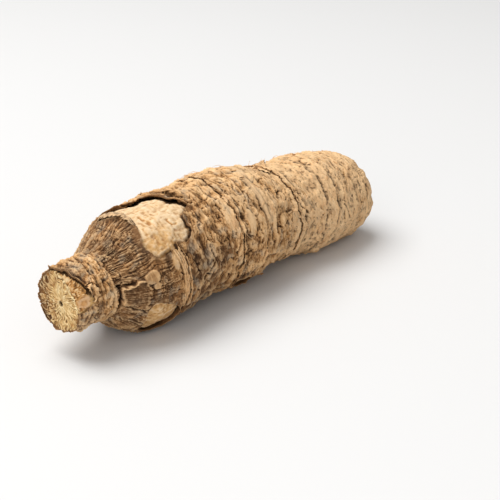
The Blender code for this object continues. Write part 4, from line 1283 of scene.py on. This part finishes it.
def looseThreads():
    values = scraps["threads"]
    draw = np.random.RandomState(values["seed"])
    count, steps = values["count"], values["steps"]
    place, turn = scrapStarts(draw, count)
    heading = np.radians(90 * draw.choice([-1, 1], count) + draw.normal(0, 28, count))
    length = draw.uniform(*values["length"], count)
    bend = draw.normal(0, 0.7, count)
    t = np.linspace(0, 1, steps)
    way = heading[:, None] + bend[:, None] * t
    stride = (length / (steps - 1))[:, None]
    place = place[:, None] + np.cumsum(stride * np.cos(way), 1)
    turn = turn[:, None] + np.cumsum(stride * np.sin(way), 1) / flatRadius
    arch = np.abs(draw.normal(0.12, 0.3, count))[:, None] * np.sin(math.pi * t)
    lift = arch - 0.3 * (1 - np.minimum(1, 6 * t * (1 - t)))
    for (p0, t0), (p1, t1), height in scraps["whiskers"]:
        place = np.vstack([place, p0 + (p1 - p0) * t])
        turn = np.vstack([turn, np.radians(t0 + (t1 - t0) * t)])
        lift = np.vstack([lift, height * t**1.3 + 0.5 * np.sin(math.pi * t)])
    keep = underBark(place, turn) & (place.max(1) < body["shoulderStart"] - 2)
    place, turn, lift = place[keep], turn[keep], lift[keep]
    relief, marks = barkRelief(place, turn)
    middle = 0.5 * (relief + relief.mean(1, keepdims=True))
    centre = skinPoints(place, turn, np.maximum(relief, middle) + lift + 0.12)
    along = np.gradient(centre, axis=1)
    along /= np.linalg.norm(along, axis=2, keepdims=True)
    up = np.stack([0 * turn, -np.sin(turn), np.cos(turn)], -1)
    side = np.cross(along, up)
    side /= np.linalg.norm(side, axis=2, keepdims=True)
    radius = draw.uniform(*values["radius"], len(place))[:, None] * (1 - 0.75 * t) * mm
    ring = []
    for a in np.arange(5) * math.tau / 5:
        spoke = math.cos(a) * up + math.sin(a) * side
        ring.append(centre + radius[..., None] * spoke)
    points = np.stack(ring, 2).reshape(-1, 3)
    sides = len(ring)
    faces = []
    for k in range(len(place)):
        base = k * steps * sides
        for j in range(steps - 1):
            for i in range(sides):
                a, b = base + j * sides + i, base + j * sides + (i + 1) % sides
                faces.append((a, b, b + sides, a + sides))
        faces.append(tuple(base + i for i in reversed(range(sides))))
        faces.append(tuple(base + (steps - 1) * sides + i for i in range(sides)))
    tone = np.repeat(np.clip(marks["tone"].mean(1) + draw.uniform(0.05, 0.35, len(place)), 0, 1),
                     steps * sides)
    where = skinPlace(np.repeat(place.ravel(), sides), np.repeat(turn.ravel(), sides))
    fields = {**scrapMarks(tone), "under": 0 * tone, "skinPlace": where}
    return makePiece("looseThreads", points, faces, fields, barkSkin)


def barkShards():
    values = scraps["shards"]
    draw = np.random.RandomState(values["seed"])
    count, steps, across = values["count"], 5, 4
    place, turn = scrapStarts(draw, count)
    heading = draw.uniform(0, math.tau, count)[:, None]
    length = draw.uniform(*values["length"], count)[:, None]
    width = draw.uniform(*values["width"], count)[:, None]
    t, w = (g.ravel() for g in np.meshgrid(np.linspace(0, 1, steps), np.linspace(-1, 1, across),
                                           indexing="ij"))
    ragged = 1 + 0.3 * draw.uniform(-1, 1, (count, steps * across))
    far = t * length * ragged
    wide = w * width * (1 - 0.6 * t**2) * ragged
    place = place[:, None] + far * np.cos(heading) - wide * np.sin(heading)
    turn = turn[:, None] + (far * np.sin(heading) + wide * np.cos(heading)) / flatRadius
    keep = underBark(place, turn) & (place.max(1) < body["shoulderStart"] - 2)
    place, turn = place[keep], turn[keep]
    relief, marks = barkRelief(place, turn)
    rise = draw.uniform(0.1, 0.7, len(place))[:, None] * t**1.5 - 0.35 * (1 - fade(t, 0, 0.3))
    top = 0.3 * relief + 0.7 * relief.mean(1, keepdims=True) + 0.25 + rise - 0.08 * w**2
    grid = np.arange(steps * across).reshape(steps, across)
    cells = np.stack([grid[:-1, :-1], grid[1:, :-1], grid[1:, 1:], grid[:-1, 1:]], -1).reshape(-1, 4)
    faces = [tuple(int(i) + k * grid.size for i in cell) for k in range(len(place)) for cell in cells]
    tone = np.clip(marks["tone"].mean(1) + draw.uniform(-0.1, 0.35, len(place)), 0, 1)
    return closedBark("barkShards", place, turn, top, top - values["thickness"], faces,
                      scrapMarks(np.repeat(tone, grid.size)), under=0.0)


looseThreads()
barkShards()

# Camera, light and floor
view = {
    "lens": 85.0, "azimuth": -49.26, "elevation": 23.37, "distance": 466.4,
    "target": (106.08, 12.82, -0.5),  # place, sideways and height, in millimetres
}


def aimCamera():
    a, e = math.radians(view["azimuth"]), math.radians(view["elevation"])
    back = Vector((math.sin(a) * math.cos(e), -math.cos(a) * math.cos(e), math.sin(e)))
    x, y, z = view["target"]
    target = Vector((x - middleX, y - body["middleY"], z)) * mm
    camera = bpy.data.objects.new("camera", bpy.data.cameras.new("camera"))
    camera.data.lens = view["lens"]
    camera.data.sensor_width = 36.0
    camera.data.clip_start = 0.01
    camera.location = target + view["distance"] * mm * back
    camera.rotation_euler = (math.pi / 2 - e, 0, a)
    bpy.context.scene.collection.objects.link(camera)
    bpy.context.scene.camera = camera


light = {
    "softbox": {"place": (-0.28, 0.45, 1.42), "size": 1.2, "power": 26.0},
    "fill": {"place": (-0.95, -0.45, 0.60), "size": 0.9, "power": 4.6},
    "sky": 0.4,
}


def softLight(name, values):
    lamp = bpy.data.lights.new(name, "AREA")
    lamp.shape = "SQUARE"
    lamp.size = values["size"]
    lamp.energy = values["power"]
    lamp.color = (1.0, 0.99, 0.975)
    holder = bpy.data.objects.new(name, lamp)
    holder.location = values["place"]
    aim = Vector((0, 0, 0.02)) - holder.location
    holder.rotation_euler = aim.to_track_quat("-Z", "Y").to_euler()
    bpy.context.scene.collection.objects.link(holder)


def floorSheet():
    side = 3.0
    mesh = bpy.data.meshes.new("floor")
    corners = [(-side, -side, 0), (side, -side, 0), (side, side, 0), (-side, side, 0)]
    mesh.from_pydata(corners, [], [(0, 1, 2, 3)])
    material, _, shader = newMaterial("whiteTable", 0.9, 0.1)
    shader.inputs["Base Color"].default_value = (0.69, 0.69, 0.69, 1.0)
    mesh.materials.append(material)
    floor = bpy.data.objects.new("floor", mesh)
    bpy.context.scene.collection.objects.link(floor)


def whiteSurround():
    world = bpy.data.worlds.new("surround")
    world.use_nodes = True
    sky = world.node_tree.nodes["Background"]
    sky.inputs["Color"].default_value = (1.0, 1.0, 1.0, 1.0)
    sky.inputs["Strength"].default_value = light["sky"]
    bpy.context.scene.world = world


aimCamera()
softLight("softbox", light["softbox"])
softLight("fill", light["fill"])
floorSheet()
whiteSurround()
bpy.context.scene.view_settings.view_transform = "Standard"
print("camera, light and floor ready")
